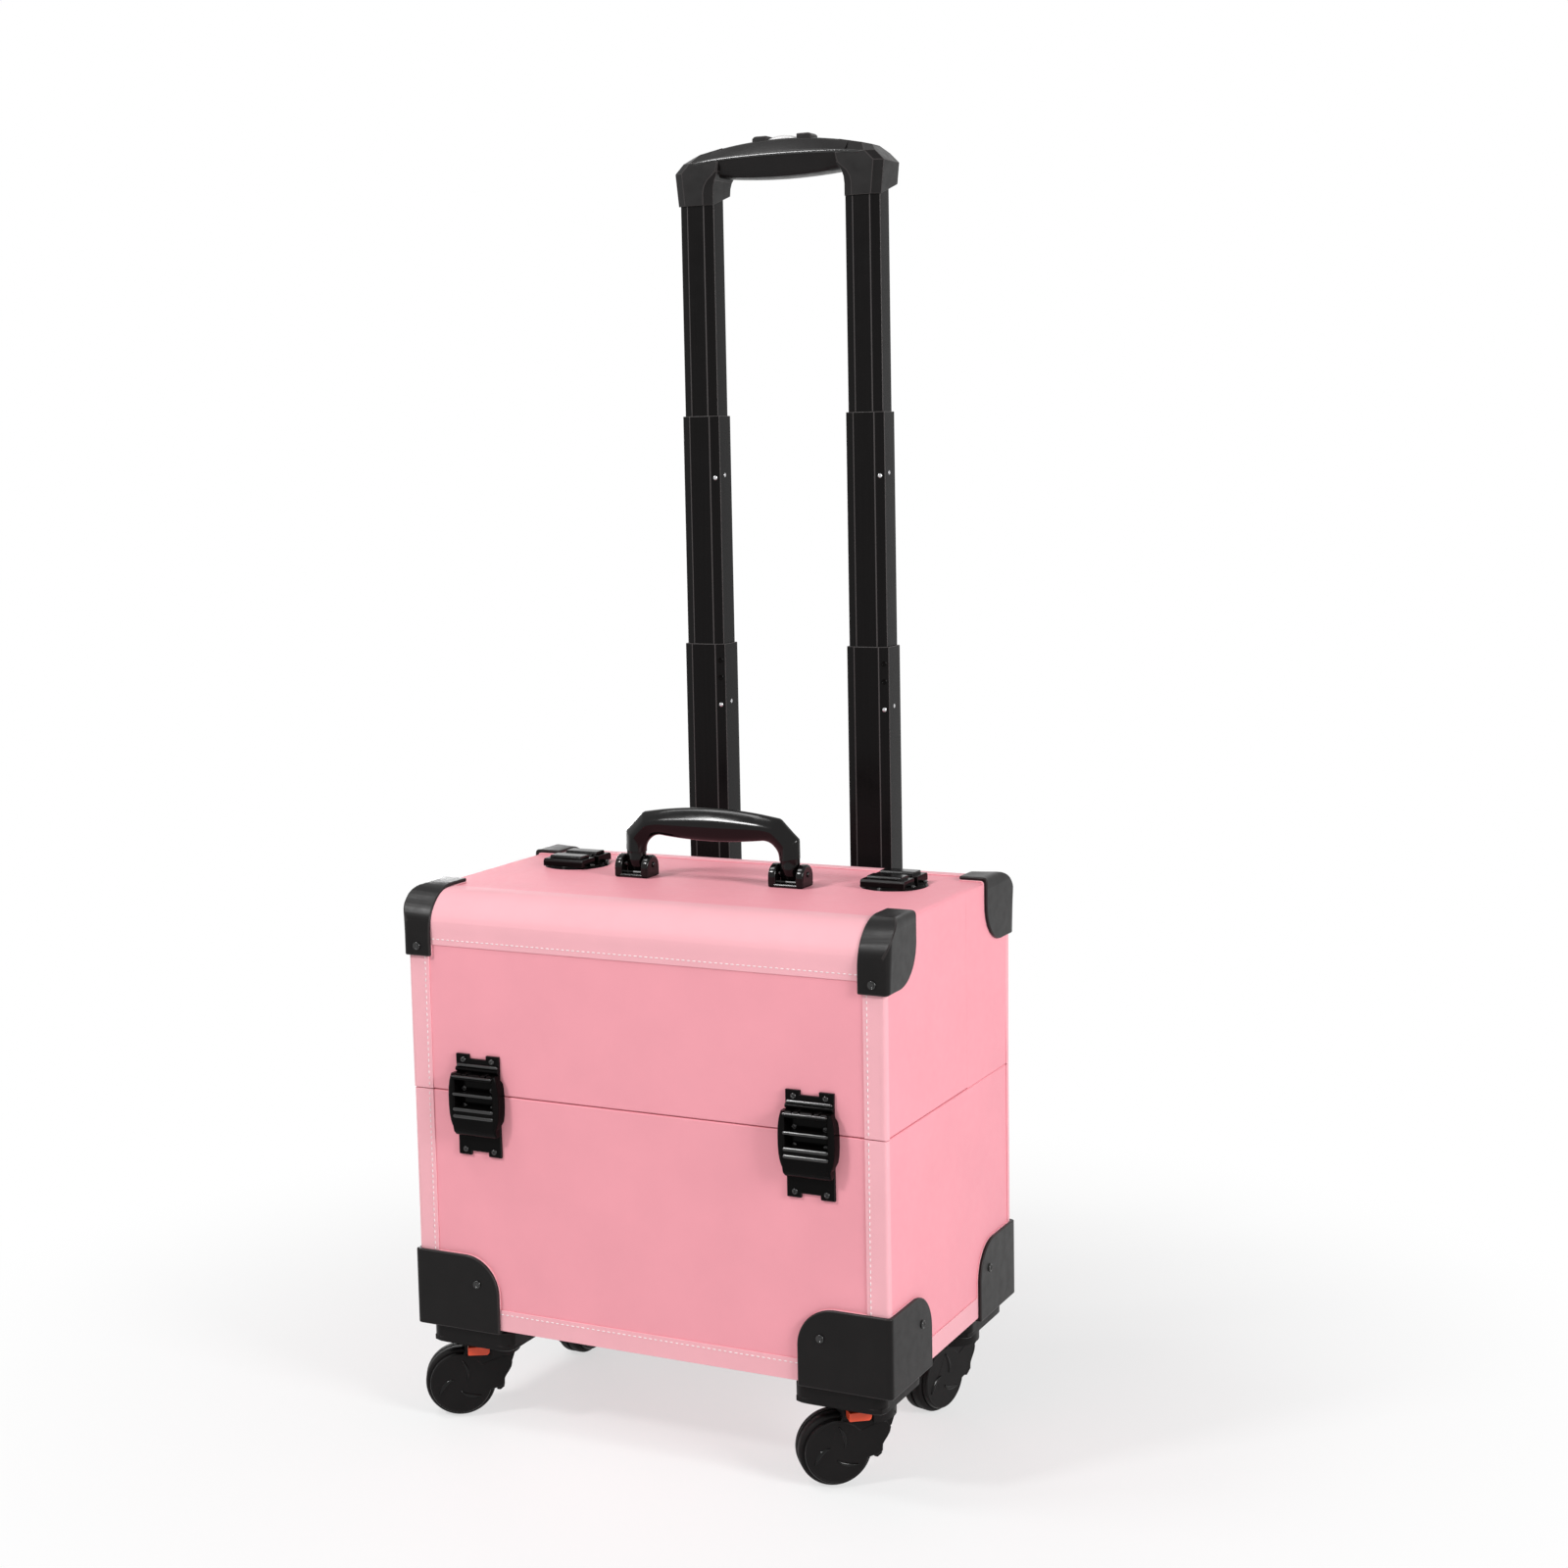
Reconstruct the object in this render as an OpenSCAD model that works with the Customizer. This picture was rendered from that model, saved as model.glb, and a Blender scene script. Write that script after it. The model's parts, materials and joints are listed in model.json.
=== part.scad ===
// Rolling makeup case: a leather-covered board box with a lift-up lid, corner
// guards, buckles, a carry handle, a telescopic pull handle and four casters.
// Sizes are in millimetres. The front faces -Y and the floor is at z = 0.

/* [Case] */
// Width of the case, side to side
case_w = 360; // [320:1:420]
// Depth of the case, front to back
case_d = 218; // [196:1:260]
// Height of the lower section
base_h = 168; // [150:1:220]
// Height of the upper section
top_h = 139; // [125:1:180]
// Thickness of the covered board
wall = 6; // [4:0.5:9]
// Radius of the rounded front and back top edges
top_r = 28; // [22:1:34]
// Radius of the upright edges
edge_r = 4; // [2:0.5:6]
// Radius of the upper section's top side edges
side_r = 5; // [3:0.5:6]
// Distance of the lid's split line behind the middle of the case
split_y = 31; // [24:1:40]
// Gap along the lid's seams
seam = 0.6; // [0.4:0.1:1]
// Thickness of the inner lining
lining_t = 1.5; // [1:0.1:3]
// Thickness of the locating rim around the mouth of the lower section
rim_t = 2; // [1.5:0.1:3]
// Height of the locating rim above the seam
rim_rise = 5; // [3:0.5:8]
// Depth of the locating rim below the seam
rim_seat = 12; // [8:1:20]

/* [Edge binding] */
// Width of the leather strips along the edges
binding_w = 15; // [10:1:20]
// Thickness of the leather strips
binding_t = 0.8; // [0.5:0.1:1.2]
// How far the wide top strips run down the front and back
top_strip_drop = 36; // [30:1:44]
// How far the wide top strips run over the top
top_strip_run = 30; // [24:1:40]

/* [Corner guards] */
// Thickness of the guards
guard_t = 2.6; // [2:0.1:4]
// Length of a lower guard's wings
lower_guard_w = 68; // [56:1:80]
// Height of a lower guard's wings
lower_guard_h = 52; // [44:1:60]
// Corner radius of a lower guard's wings
lower_guard_r = 27; // [15:1:34]
// Width of an upper guard's band over the front and top
upper_guard_band = 21; // [17:1:28]
// Length of an upper guard's side wing
upper_guard_run = 46; // [40:1:56]
// Height of an upper guard's side wing
upper_guard_drop = 44; // [38:1:54]
// Corner radius of an upper guard's side wing
upper_guard_r = 28; // [15:1:34]
// Radius of a rivet's head
rivet_r = 3; // [2:0.1:4]
// Height of a rivet's head
rivet_h = 1.2; // [0.8:0.1:2]
// Distance of a lower rivet from the end of its wing
rivet_inset = 17; // [12:1:22]
// Height of a lower rivet on its wing
rivet_rise = 32; // [24:1:38]
// Height of an upper rivet above the end of its band
upper_rivet_rise = 7; // [5:0.5:12]

/* [Buckles] */
// Distance of the buckles from the sides of the case
buckle_inset = 53; // [40:1:75]
// Width of a buckle's plates
buckle_w = 34.6; // [30:0.1:40]
// Width of a buckle's frame
frame_w = 45; // [42:0.5:50]
// Thickness of a buckle's plates
plate_t = 2; // [1.5:0.1:3]
// Height of a buckle's frame above its plates
frame_t = 7.5; // [6:0.5:10]
// Length of a front buckle's upper plate
upper_plate_h = 27.5; // [24:0.5:34]
// Length of a front buckle's lower plate
lower_plate_h = 43.5; // [40:0.5:50]
// Distance of a front buckle's pin above the seam
latch_pin_rise = 13; // [11:0.5:16]
// Distance of a front buckle's lip below the seam
latch_lip_drop = 33; // [28:0.5:36]
// Radius of a buckle's pin
pin_r = 1.2; // [1:0.1:1.6]
// Radius of a buckle's knuckles
knuckle_r = 2.6; // [2.2:0.1:3.2]
// Radius of a top buckle's round dish
dish_r = 26.5; // [26:0.5:30]
// Width of a top buckle's body
body_w = 26; // [25.5:0.5:28]
// Length of each half of a top buckle's body
body_l = 22; // [18:0.5:23]
// Radius of a screw's head
screw_r = 2.1; // [1.5:0.1:2.6]
// Height of a screw's head
screw_h = 0.9; // [0.6:0.1:1.4]

/* [Carry handle] */
// Distance between the middles of the two handle brackets
handle_span = 122; // [110:1:150]
// Place of the handle, measured behind the middle of the case
handle_y = 3; // [-4:1:8]
// Height of the handle above the lid
handle_rise = 52; // [46:1:64]
// Width of a leg
leg_w = 14.5; // [12:0.5:18]
// Thickness of the handle, front to back
handle_t = 15; // [12:0.5:18]
// Depth of the handle's bar at its ends
bar_h = 16; // [14:0.5:20]
// Width of a bracket
bracket_w = 27; // [25:0.5:32]
// Depth of a bracket, front to back
bracket_d = 18; // [16:0.5:22]
// Height of a bracket
bracket_h = 16; // [14:0.5:20]
// Radius of the handle's pins
handle_pin_r = 2; // [1.5:0.1:2.5]

/* [Pull handle] */
// Distance of the tubes from the middle of the case
tube_x = 67; // [58:1:80]
// Distance of the tubes' middles behind the back of the case
tube_back = 26.5; // [26:0.5:34]
// Width of the lowest moving tube
tube_w = 33.5; // [31:0.5:38]
// Depth of the lowest moving tube
tube_d = 23.5; // [22:0.5:24.5]
// Difference in width from one tube to the next
tube_step_w = 3; // [2.8:0.1:3.2]
// Difference in depth from one tube to the next
tube_step_d = 2.4; // [2.4:0.1:2.8]
// Thickness of a tube's wall
tube_wall = 0.9; // [0.7:0.1:1]
// Width of the tubes' bevelled front corners
bevel_w = 7; // [5:0.5:8]
// Depth of the tubes' bevelled front corners
bevel_d = 3; // [2:0.5:4]
// Height of the fixed sleeves' tops above the floor of the box
sleeve_top = 294; // [280:1:320]
// Height by which each tube stands out of the one below
stage_rise = 170; // [150:1:180]
// Height by which the grip's ends stand above the last tube
grip_rise = 154; // [140:1:164]
// Length of a tube
tube_l = 272; // [255:1:275]
// Depth of the grip, front to back
grip_d = 33; // [32:0.5:38]
// Distance of the grip's middle behind the tubes' middles
grip_shift = 6; // [3:0.5:6.5]
// Height of the grip's ends
grip_end_h = 36; // [32:0.5:42]
// Rise of the grip's arch over its ends
grip_arch = 9; // [6:0.5:11]
// Thickness of the grip's bar at its ends
grip_bar_h = 16; // [14:0.5:19]
// Length of the release button
button_l = 48; // [40:1:60]
// Width of the release button
button_w = 12; // [9:0.5:15]
// Travel of the release button
button_travel = 3; // [2:0.5:4]

/* [Casters] */
// Height of the box above the floor
caster_h = 75; // [70:1:84]
// Wheel diameter
wheel_d = 50; // [44:1:52]
// Wheel width
wheel_w = 16; // [13:0.5:19]
// Distance of the swivel axes from the sides of the box
caster_inset_x = 33; // [30:1:45]
// Distance of the swivel axes from the front and back of the box
caster_inset_y = 34; // [31:1:45]
// Distance of an axle behind its swivel axis
trail = 22; // [20:0.5:25]
// Width of a caster's mounting block
block_w = 66; // [58:1:70]
// Thickness of a caster's mounting block
block_t = 10.5; // [8:0.5:13]
// Radius of a caster's swivel housing
housing_r = 21; // [20:0.5:23]
// Height of a caster's swivel housing
housing_h = 15; // [13:0.5:17]
// Thickness of a fork's cheek
cheek_t = 3; // [2.5:0.1:4]
// Radius of an axle
axle_r = 3.5; // [2.5:0.1:4.5]
// Radius of a swivel stem
stem_r = 5; // [4:0.1:6]
// Turn of the front left caster
turn_front_left = 32; // [0:1:360]
// Turn of the front right caster
turn_front_right = 38; // [0:1:360]
// Turn of the rear left caster
turn_rear_left = 88; // [0:1:360]
// Turn of the rear right caster
turn_rear_right = 75; // [0:1:360]

/* [Fits] */
// Radial clearance of a running pin
run_fit = 0.05; // [0.02:0.01:0.09]
// Gap between moving faces that never touch
clear = 0.6; // [0.4:0.1:1]

/* [Hidden] */
$fn = 64;

leather = "#efa3af";
leather_strip = "#f2acb6";
lining_cloth = "#4a4044";
black = "#262424";
steel = "#9a9a9c";
brake_red = "#e8512f";
aluminium = "#b9babd";

far = 1000;
least_r = 0.5;
top_z = base_h + top_h;
guard_out = binding_t + guard_t;
buckle_x = case_w/2 - buckle_inset;
swivel_x = case_w/2 - caster_inset_x;
swivel_y = case_d/2 - caster_inset_y;
tube_y = case_d/2 + tube_back;
grip_y = tube_y + grip_shift;
lever_bead_r = 1.2;
bead_sink = 0.25;
bead_out = knuckle_r + clear + lever_bead_r - bead_sink;
front_reach = case_d/2 + plate_t + clear + frame_t/2 + bead_out + lever_bead_r;
rear_reach = grip_y + grip_d/2;
case_y = (front_reach - rear_reach)/2;

// Shared shapes

// Shifts a piece from the box's own frame, whose origin is the middle of its underside
module place() {
    translate([0, case_y, caster_h]) children();
}

// Mirrors a right-hand or front piece to the other sides
module mirrored(left, rear) {
    mirror([left ? 1 : 0, 0, 0]) mirror([0, rear ? 1 : 0, 0]) children();
}

module round_rect(w, d, r) {
    square([w - 2*r, d], center = true);
    square([w, d - 2*r], center = true);
    for (x = [-1, 1], y = [-1, 1])
        translate([x*(w/2 - r), y*(d/2 - r)]) circle(r);
}

// Extrudes an outline drawn in Y and Z along X, about the middle
module across(w) {
    rotate([90, 0, 90]) linear_extrude(w, center = true) children();
}

// Extrudes an outline drawn in X and Z along Y, about the middle
module through(d) {
    rotate([90, 0, 0]) linear_extrude(d, center = true) children();
}

// Rod along X
module rod_x(r, l) {
    rotate([0, 90, 0]) cylinder(r = r, h = l, center = true);
}

// Space in front of, behind and above a plane
module ahead_of(y) {
    translate([-far, -far, -far]) cube([2*far, far + y, 2*far]);
}

module behind(y) {
    translate([-far, y, -far]) cube([2*far, far, 2*far]);
}

module above(z) {
    translate([-far, -far, z]) cube([2*far, 2*far, far]);
}

// Lower section as a prism, grown by out on all sides
module base_prism(out, h) {
    linear_extrude(h) round_rect(case_w + 2*out, case_d + 2*out, max(edge_r + out, least_r));
}

// Side view of the upper section, grown by out and carried below the seam by drop
module upper_outline(out, drop) {
    translate([-case_d/2 - out, base_h - drop])
        square([case_d + 2*out, top_h - top_r + drop]);
    translate([-case_d/2 + top_r, base_h - drop])
        square([case_d - 2*top_r, top_h + out + drop]);
    for (side = [-1, 1])
        translate([side*(case_d/2 - top_r), top_z - top_r]) circle(top_r + out);
}

// Front view of the upper section, with its rounded top corners, grown by out
module upper_front(out) {
    w = case_w + 2*out;
    r = max(side_r + out, least_r);
    translate([-w/2, 0]) square([w, top_z + out - r]);
    translate([-w/2 + r, 0]) square([w - 2*r, top_z + out]);
    for (side = [-1, 1])
        translate([side*(w/2 - r), top_z + out - r]) circle(r);
}

// Upper section as a solid with rounded upright and top edges, grown by out
module upper_solid(out, drop) {
    intersection() {
        across(case_w + 2*out) upper_outline(out, drop);
        base_prism(out, far);
        through(far) upper_front(out);
    }
}

// Open-bottomed skin of the upper section between two offsets from its outside
module upper_skin(inner, outer) {
    difference() {
        upper_solid(outer, 0);
        upper_solid(inner, wall);
    }
}

// Space of the strips along the upright edges of the front and back
module upright_strips() {
    for (left = [false, true], rear = [false, true])
        mirrored(left, rear)
            translate([case_w/2 - binding_w, -far, 0]) cube([far, far - case_d/2 + edge_r, top_z]);
}

// Space of the lower section's strips, with pads under its guards
module base_strips() {
    translate([-far, -far, 0]) cube([2*far, 2*far, binding_w]);
    upright_strips();
    for (left = [false, true], rear = [false, true])
        mirrored(left, rear) lower_guard_reach();
}

// Space of the upper section's strips, with pads under its guards
module upper_strips() {
    upright_strips();
    for (rear = [false, true])
        mirrored(false, rear)
            translate([-case_w/2 + side_r, -far, top_z - top_strip_drop])
                cube([case_w - 2*side_r, far - case_d/2 + top_strip_run, far]);
    for (left = [false, true], rear = [false, true])
        mirrored(left, rear) upper_guard_reach();
}

// Case

module base_shell() {
    color(leather) place() difference() {
        base_prism(0, base_h);
        translate([0, 0, wall]) base_prism(-wall, base_h);
    }
}

module base_binding() {
    color(leather_strip) place() intersection() {
        difference() {
            base_prism(binding_t, base_h);
            translate([0, 0, -wall]) base_prism(0, base_h + 2*wall);
        }
        base_strips();
    }
}

module base_lining() {
    color(lining_cloth) place() difference() {
        translate([0, 0, wall]) base_prism(-wall, base_h - wall - rim_seat);
        translate([0, 0, wall + lining_t]) base_prism(-wall - lining_t, base_h);
    }
}

// The part of the rim above the seam stands clear of the lid
module base_rim() {
    color(aluminium) place() intersection() {
        difference() {
            union() {
                translate([0, 0, base_h - rim_seat]) base_prism(-wall, rim_seat);
                translate([0, 0, base_h - rim_seat]) base_prism(-wall - clear, rim_seat + rim_rise);
            }
            translate([0, 0, base_h - 2*rim_seat]) base_prism(-wall - rim_t, 4*rim_seat);
        }
        ahead_of(split_y - wall);
    }
}

module rear_hood() {
    color(leather) place() intersection() {
        upper_skin(-wall, 0);
        behind(split_y + seam/2);
    }
}

module hood_binding() {
    color(leather_strip) place() intersection() {
        upper_skin(0, binding_t);
        upper_strips();
        behind(split_y + seam/2);
    }
}

module hood_lining() {
    color(lining_cloth) place() intersection() {
        upper_skin(-wall - lining_t, -wall);
        behind(split_y + lining_t);
    }
}

module lid_shell() {
    color(leather) place() intersection() {
        upper_skin(-wall, 0);
        ahead_of(split_y - seam/2);
        above(base_h + seam);
    }
}

module lid_binding() {
    color(leather_strip) place() intersection() {
        upper_skin(0, binding_t);
        upper_strips();
        ahead_of(split_y - seam/2);
        above(base_h + seam);
    }
}

module lid_lining() {
    color(lining_cloth) place() intersection() {
        upper_skin(-wall - lining_t, -wall);
        ahead_of(split_y - lining_t);
        above(base_h + rim_rise + lining_t);
    }
}

// Corner guards

// Outline of a lower guard's wing, rounded at the upper inner corner
module lower_wing() {
    w = lower_guard_w + guard_t;
    h = lower_guard_h + guard_t;
    square([w, h - lower_guard_r]);
    translate([lower_guard_r, 0]) square([w - lower_guard_r, h]);
    translate([lower_guard_r, h - lower_guard_r]) circle(lower_guard_r);
}

// Space that the front right lower guard spans
module lower_guard_reach() {
    intersection() {
        translate([case_w/2 + guard_out - lower_guard_w, 0, -guard_t])
            through(2*far) lower_wing();
        translate([0, -case_d/2 - guard_out + lower_guard_w, -guard_t])
            mirror([0, 1, 0]) across(2*far) lower_wing();
    }
}

module lower_guard(left, rear) {
    color(black) place() mirrored(left, rear) intersection() {
        difference() {
            translate([0, 0, -guard_t]) base_prism(guard_out, lower_guard_h + guard_t);
            base_prism(binding_t, base_h);
        }
        lower_guard_reach();
    }
}

// Outline of an upper guard seen from the side, rounded at the lower inner corner
module upper_wing() {
    w = upper_guard_run + guard_out;
    h = upper_guard_drop + guard_out;
    square([w - upper_guard_r, h]);
    translate([0, upper_guard_r]) square([w, h - upper_guard_r]);
    translate([w - upper_guard_r, upper_guard_r]) circle(upper_guard_r);
}

// Space that the front right upper guard spans
module upper_guard_reach() {
    translate([case_w/2 + guard_out - upper_guard_band + far/2, 0, 0]) across(far)
        translate([-case_d/2 - guard_out, top_z - upper_guard_drop]) upper_wing();
}

module upper_guard(left, rear) {
    color(black) place() mirrored(left, rear) intersection() {
        upper_skin(binding_t, guard_out);
        upper_guard_reach();
    }
}

// Rivet with its head towards -Y, on a face at y = 0
module rivet() {
    rotate([90, 0, 0]) cylinder(r = rivet_r, h = rivet_h);
}

// Rivets of one lower guard, one on each wing
module lower_rivets() {
    out = lower_guard_w - rivet_inset;
    translate([case_w/2 + guard_out - out, -case_d/2 - guard_out, rivet_rise]) rivet();
    translate([case_w/2 + guard_out, -case_d/2 - guard_out + out, rivet_rise]) rotate([0, 0, 90]) rivet();
}

module upper_rivet() {
    translate([case_w/2 + guard_out - upper_guard_band/2, -case_d/2 - guard_out,
            top_z - upper_guard_drop + upper_rivet_rise])
        rivet();
}

module base_rivets() {
    color(black) place() {
        for (left = [false, true], rear = [false, true])
            mirrored(left, rear) lower_rivets();
        for (left = [false, true])
            mirrored(left, true) upper_rivet();
    }
}

module lid_rivets() {
    color(black) place()
        for (left = [false, true])
            mirrored(left, false) upper_rivet();
}

// Buckles

notch_w = buckle_w*0.4;
notch_h = 3;
pin_out = plate_t + clear + frame_t/2;
screw_x = buckle_w/3;
end_screw = 4;
ear_x = 7.5;
ear_w = 3;
rail_r = 9;
bar_t = 2.6;
bead_r = 1.6;
bead_rise = 4.5;
lip_r = 3;

// Extrudes an outline drawn in X and Z from y = 0 to the plate's thickness, towards -Y
module plate() {
    rotate([90, 0, 0]) linear_extrude(plate_t) children();
}

// Plate with a notched end, lying on y = 0 with its notch at the end away from z = 0
module notched_plate(l) {
    plate() difference() {
        translate([-buckle_w/2, 0]) square([buckle_w, l]);
        translate([-notch_w/2, l - notch_h]) square([notch_w, l]);
    }
}

// Ear that carries a buckle's pin
module ear() {
    difference() {
        union() {
            translate([-ear_w/2, -pin_out, -knuckle_r]) cube([ear_w, pin_out, 2*knuckle_r]);
            translate([0, -pin_out, 0]) rod_x(knuckle_r, ear_w);
        }
        translate([0, -pin_out, 0]) rod_x(pin_r, 2*ear_w);
    }
}

module latch_plate(left) {
    color(black) place() translate([left ? -buckle_x : buckle_x, -case_d/2, base_h]) {
        translate([0, 0, seam]) notched_plate(upper_plate_h);
        translate([0, -plate_t, latch_pin_rise + bead_rise]) rod_x(bead_r, buckle_w);
        for (x = [-ear_x, ear_x])
            translate([x, 0, latch_pin_rise]) ear();
    }
}

module latch_keeper(left) {
    color(black) place() translate([left ? -buckle_x : buckle_x, -case_d/2, base_h])
        mirror([0, 0, 1]) notched_plate(lower_plate_h);
}

// Front view of a front buckle's frame, drawn below its pin: two rails, a middle bar over the
// seam and a smooth lip, with two windows that show the screws
lip_low = latch_pin_rise + latch_lip_drop;
lip_h = latch_lip_drop*0.45;
rail_low = lip_low - lip_h/2;
window_w = buckle_w - bar_t;
window_1 = [latch_pin_rise + bar_t/2, knuckle_r + bar_t/2];
window_2 = [lip_low - lip_h - 2*bar_t, latch_pin_rise + 3*bar_t/2];

module lever_outline() {
    difference() {
        union() {
            translate([0, -(rail_low + knuckle_r)/2]) round_rect(frame_w, rail_low - knuckle_r, rail_r);
            translate([0, -(lip_low + knuckle_r)/2]) round_rect(buckle_w, lip_low - knuckle_r, lip_r);
        }
        for (window = [window_1, window_2])
            translate([-window_w/2, -window[0]]) square([window_w, window[0] - window[1]]);
    }
}

module latch_lever(left) {
    bar_z = [lip_low - lip_h - bead_r, lip_low - lip_h + 2*bead_r];
    x = left ? -buckle_x : buckle_x;
    color(black) place() translate([x, -case_d/2 - pin_out, base_h + latch_pin_rise])
        difference() {
            union() {
                through(frame_t) lever_outline();
                rod_x(knuckle_r, buckle_w);
                translate([-buckle_w/2, -knuckle_r, -2*knuckle_r]) cube([buckle_w, 2*knuckle_r, 2*knuckle_r]);
                translate([0, -bead_out, 0]) rod_x(lever_bead_r, buckle_w);
                translate([-buckle_w/2, -bead_out, -lever_bead_r]) cube([buckle_w, bead_out, lever_bead_r]);
                for (z = bar_z)
                    translate([0, -frame_t/2, -z]) rod_x(bead_r/2, buckle_w);
            }
            rod_x(pin_r + run_fit, frame_w);
            for (x = [-ear_x, ear_x])
                translate([x - ear_w/2 - clear, -knuckle_r - clear, -knuckle_r - clear])
                    cube([ear_w + 2*clear, far, far]);
        }
}

// Pins of the front buckles and of the carry handle
module lid_pins() {
    color(steel) place()
        for (side = [-1, 1]) {
            translate([side*buckle_x, -case_d/2 - pin_out, base_h + latch_pin_rise]) rod_x(pin_r, buckle_w);
            translate([side*handle_span/2, handle_y, top_z + handle_pin_z]) rod_x(handle_pin_r, bracket_w);
        }
}

// Screw with its head towards -Y, on a face at y = 0
module screw() {
    rotate([90, 0, 0]) cylinder(r = screw_r, h = screw_h);
}

// Height of a lever window's middle above the seam
function window_mid(window) = latch_pin_rise - (window[0] + window[1])/2;

// Screws of one front buckle plate: a pair at its end and a pair by the seam
module plate_screws(end_z, seam_z) {
    for (x = [-screw_x, screw_x], z = [end_z, seam_z])
        translate([x, -case_d/2 - plate_t, z]) screw();
}

top_pin_z = top_z + plate_t + knuckle_r + clear;
body_h = frame_t;
body_step = 2;
body_gap = knuckle_r + clear;
stud_r = 1.8;
stud_out = 0.8;
stud_inset = 5;
leaf_screw_y = body_l/2;
leaf_screw_x = (body_w/2 + sqrt(dish_r*dish_r - leaf_screw_y*leaf_screw_y))/2;

// Half of a top buckle, drawn forward of the pin at y = 0: half a round dish and a stepped body
// with the heads of a cross pin on its sides
module hinge_leaf() {
    intersection() {
        cylinder(r1 = dish_r, r2 = dish_r - plate_t/2, h = plate_t, $fn = 96);
        ahead_of(-seam);
    }
    translate([-body_w/2, -body_l, 0]) cube([body_w, body_l - body_gap, body_h - body_step]);
    translate([-body_w/2 + body_step, -body_l + body_step, 0])
        cube([body_w - 2*body_step, body_l - body_step - body_gap, body_h]);
    translate([0, -body_l + stud_inset, (plate_t + body_h - body_step)/2])
        rod_x(stud_r, body_w + 2*stud_out);
}

knuckle_l = 8;

// Hinge knuckle with the web that joins it to the plate in front of it
module hinge_knuckle(l, bore) {
    h = top_pin_z - top_z;
    difference() {
        union() {
            translate([0, 0, h]) rod_x(knuckle_r, l);
            translate([-l/2, -body_gap, 0]) cube([l, body_gap - seam, h]);
        }
        translate([0, 0, h]) rod_x(bore, 2*l);
    }
}

module hinge_front(left) {
    color(black) place() translate([left ? -buckle_x : buckle_x, split_y, top_z]) {
        hinge_leaf();
        for (x = [-knuckle_l - clear, knuckle_l + clear])
            translate([x, 0, 0]) hinge_knuckle(knuckle_l, pin_r + run_fit);
    }
}

module hinge_rear(left) {
    color(black) place() translate([left ? -buckle_x : buckle_x, split_y, top_z])
        mirror([0, 1, 0]) {
            hinge_leaf();
            hinge_knuckle(knuckle_l, pin_r);
        }
}

module hinge_pins() {
    color(steel) place()
        for (side = [-1, 1])
            translate([side*buckle_x, split_y, top_pin_z]) rod_x(pin_r, 3*knuckle_l + 2*clear);
}

// Screws of one top buckle plate
module leaf_screws(side) {
    for (x = [-leaf_screw_x, leaf_screw_x])
        translate([x, side*leaf_screw_y, plate_t]) cylinder(r = screw_r, h = screw_h);
}

module base_screws() {
    color(black) place()
        for (side = [-1, 1]) {
            translate([side*buckle_x, 0, base_h])
                plate_screws(-lower_plate_h + end_screw, window_mid(window_2));
            translate([side*buckle_x, split_y, top_z]) leaf_screws(1);
        }
}

module lid_screws() {
    color(black) place()
        for (side = [-1, 1]) {
            translate([side*buckle_x, 0, base_h])
                plate_screws(seam + upper_plate_h - end_screw, window_mid(window_1));
            translate([side*buckle_x, split_y, top_z]) leaf_screws(-1);
        }
}

// Carry handle

handle_pin_z = 9;
foot_h = 3;

module handle_bracket(left) {
    ear_t = (bracket_w - leg_w)/2 - clear/2;
    color(black) place() translate([left ? -handle_span/2 : handle_span/2, handle_y, top_z])
        difference() {
            union() {
                translate([-bracket_w/2, -bracket_d/2, 0]) cube([bracket_w, bracket_d, foot_h]);
                for (side = [-1, 1])
                    translate([side*(bracket_w/2 - ear_t/2), 0, 0]) across(ear_t) bracket_ear();
            }
            translate([0, 0, handle_pin_z]) rod_x(handle_pin_r, 2*bracket_w);
        }
}

// Side view of a bracket's ear, an arch
module bracket_ear() {
    ear_r = bracket_d/3;
    translate([-bracket_d/2, 0]) square([bracket_d, bracket_h - ear_r]);
    translate([-bracket_d/2 + ear_r, 0]) square([bracket_d - 2*ear_r, bracket_h]);
    for (side = [-1, 1])
        translate([side*(bracket_d/2 - ear_r), bracket_h - ear_r]) circle(ear_r);
}

// Front view of the carry handle from the lid's top: splayed shoulders, an arched back and a belly
module handle_outline() {
    leg_in = handle_span/2 - leg_w/2;
    leg_out = handle_span/2 + leg_w/2;
    shoulder = 14;
    arch = 5;
    arch_half = leg_out - shoulder;
    arch_r = (arch_half*arch_half + arch*arch)/(2*arch);
    inner_r = 13;
    belly = 2.5;
    belly_half = leg_in - inner_r;
    belly_r = (belly_half*belly_half + belly*belly)/(2*belly);
    inner_top = handle_rise - arch - bar_h;
    difference() {
        intersection() {
            polygon([[-leg_out, handle_pin_z], [-leg_out, handle_rise - arch - shoulder],
                [shoulder - arch_half, handle_rise - arch + shoulder],
                [arch_half - shoulder, handle_rise - arch + shoulder],
                [leg_out, handle_rise - arch - shoulder], [leg_out, handle_pin_z]]);
            translate([0, handle_rise - arch_r]) circle(arch_r, $fn = 256);
        }
        difference() {
            union() {
                translate([-leg_in, -handle_rise]) square([2*leg_in, handle_rise + inner_top - inner_r]);
                translate([-leg_in + inner_r, 0]) square([2*(leg_in - inner_r), inner_top]);
                for (side = [-1, 1])
                    translate([side*(leg_in - inner_r), inner_top - inner_r]) circle(inner_r);
            }
            translate([0, inner_top - belly + belly_r]) circle(belly_r, $fn = 256);
        }
    }
}

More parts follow.
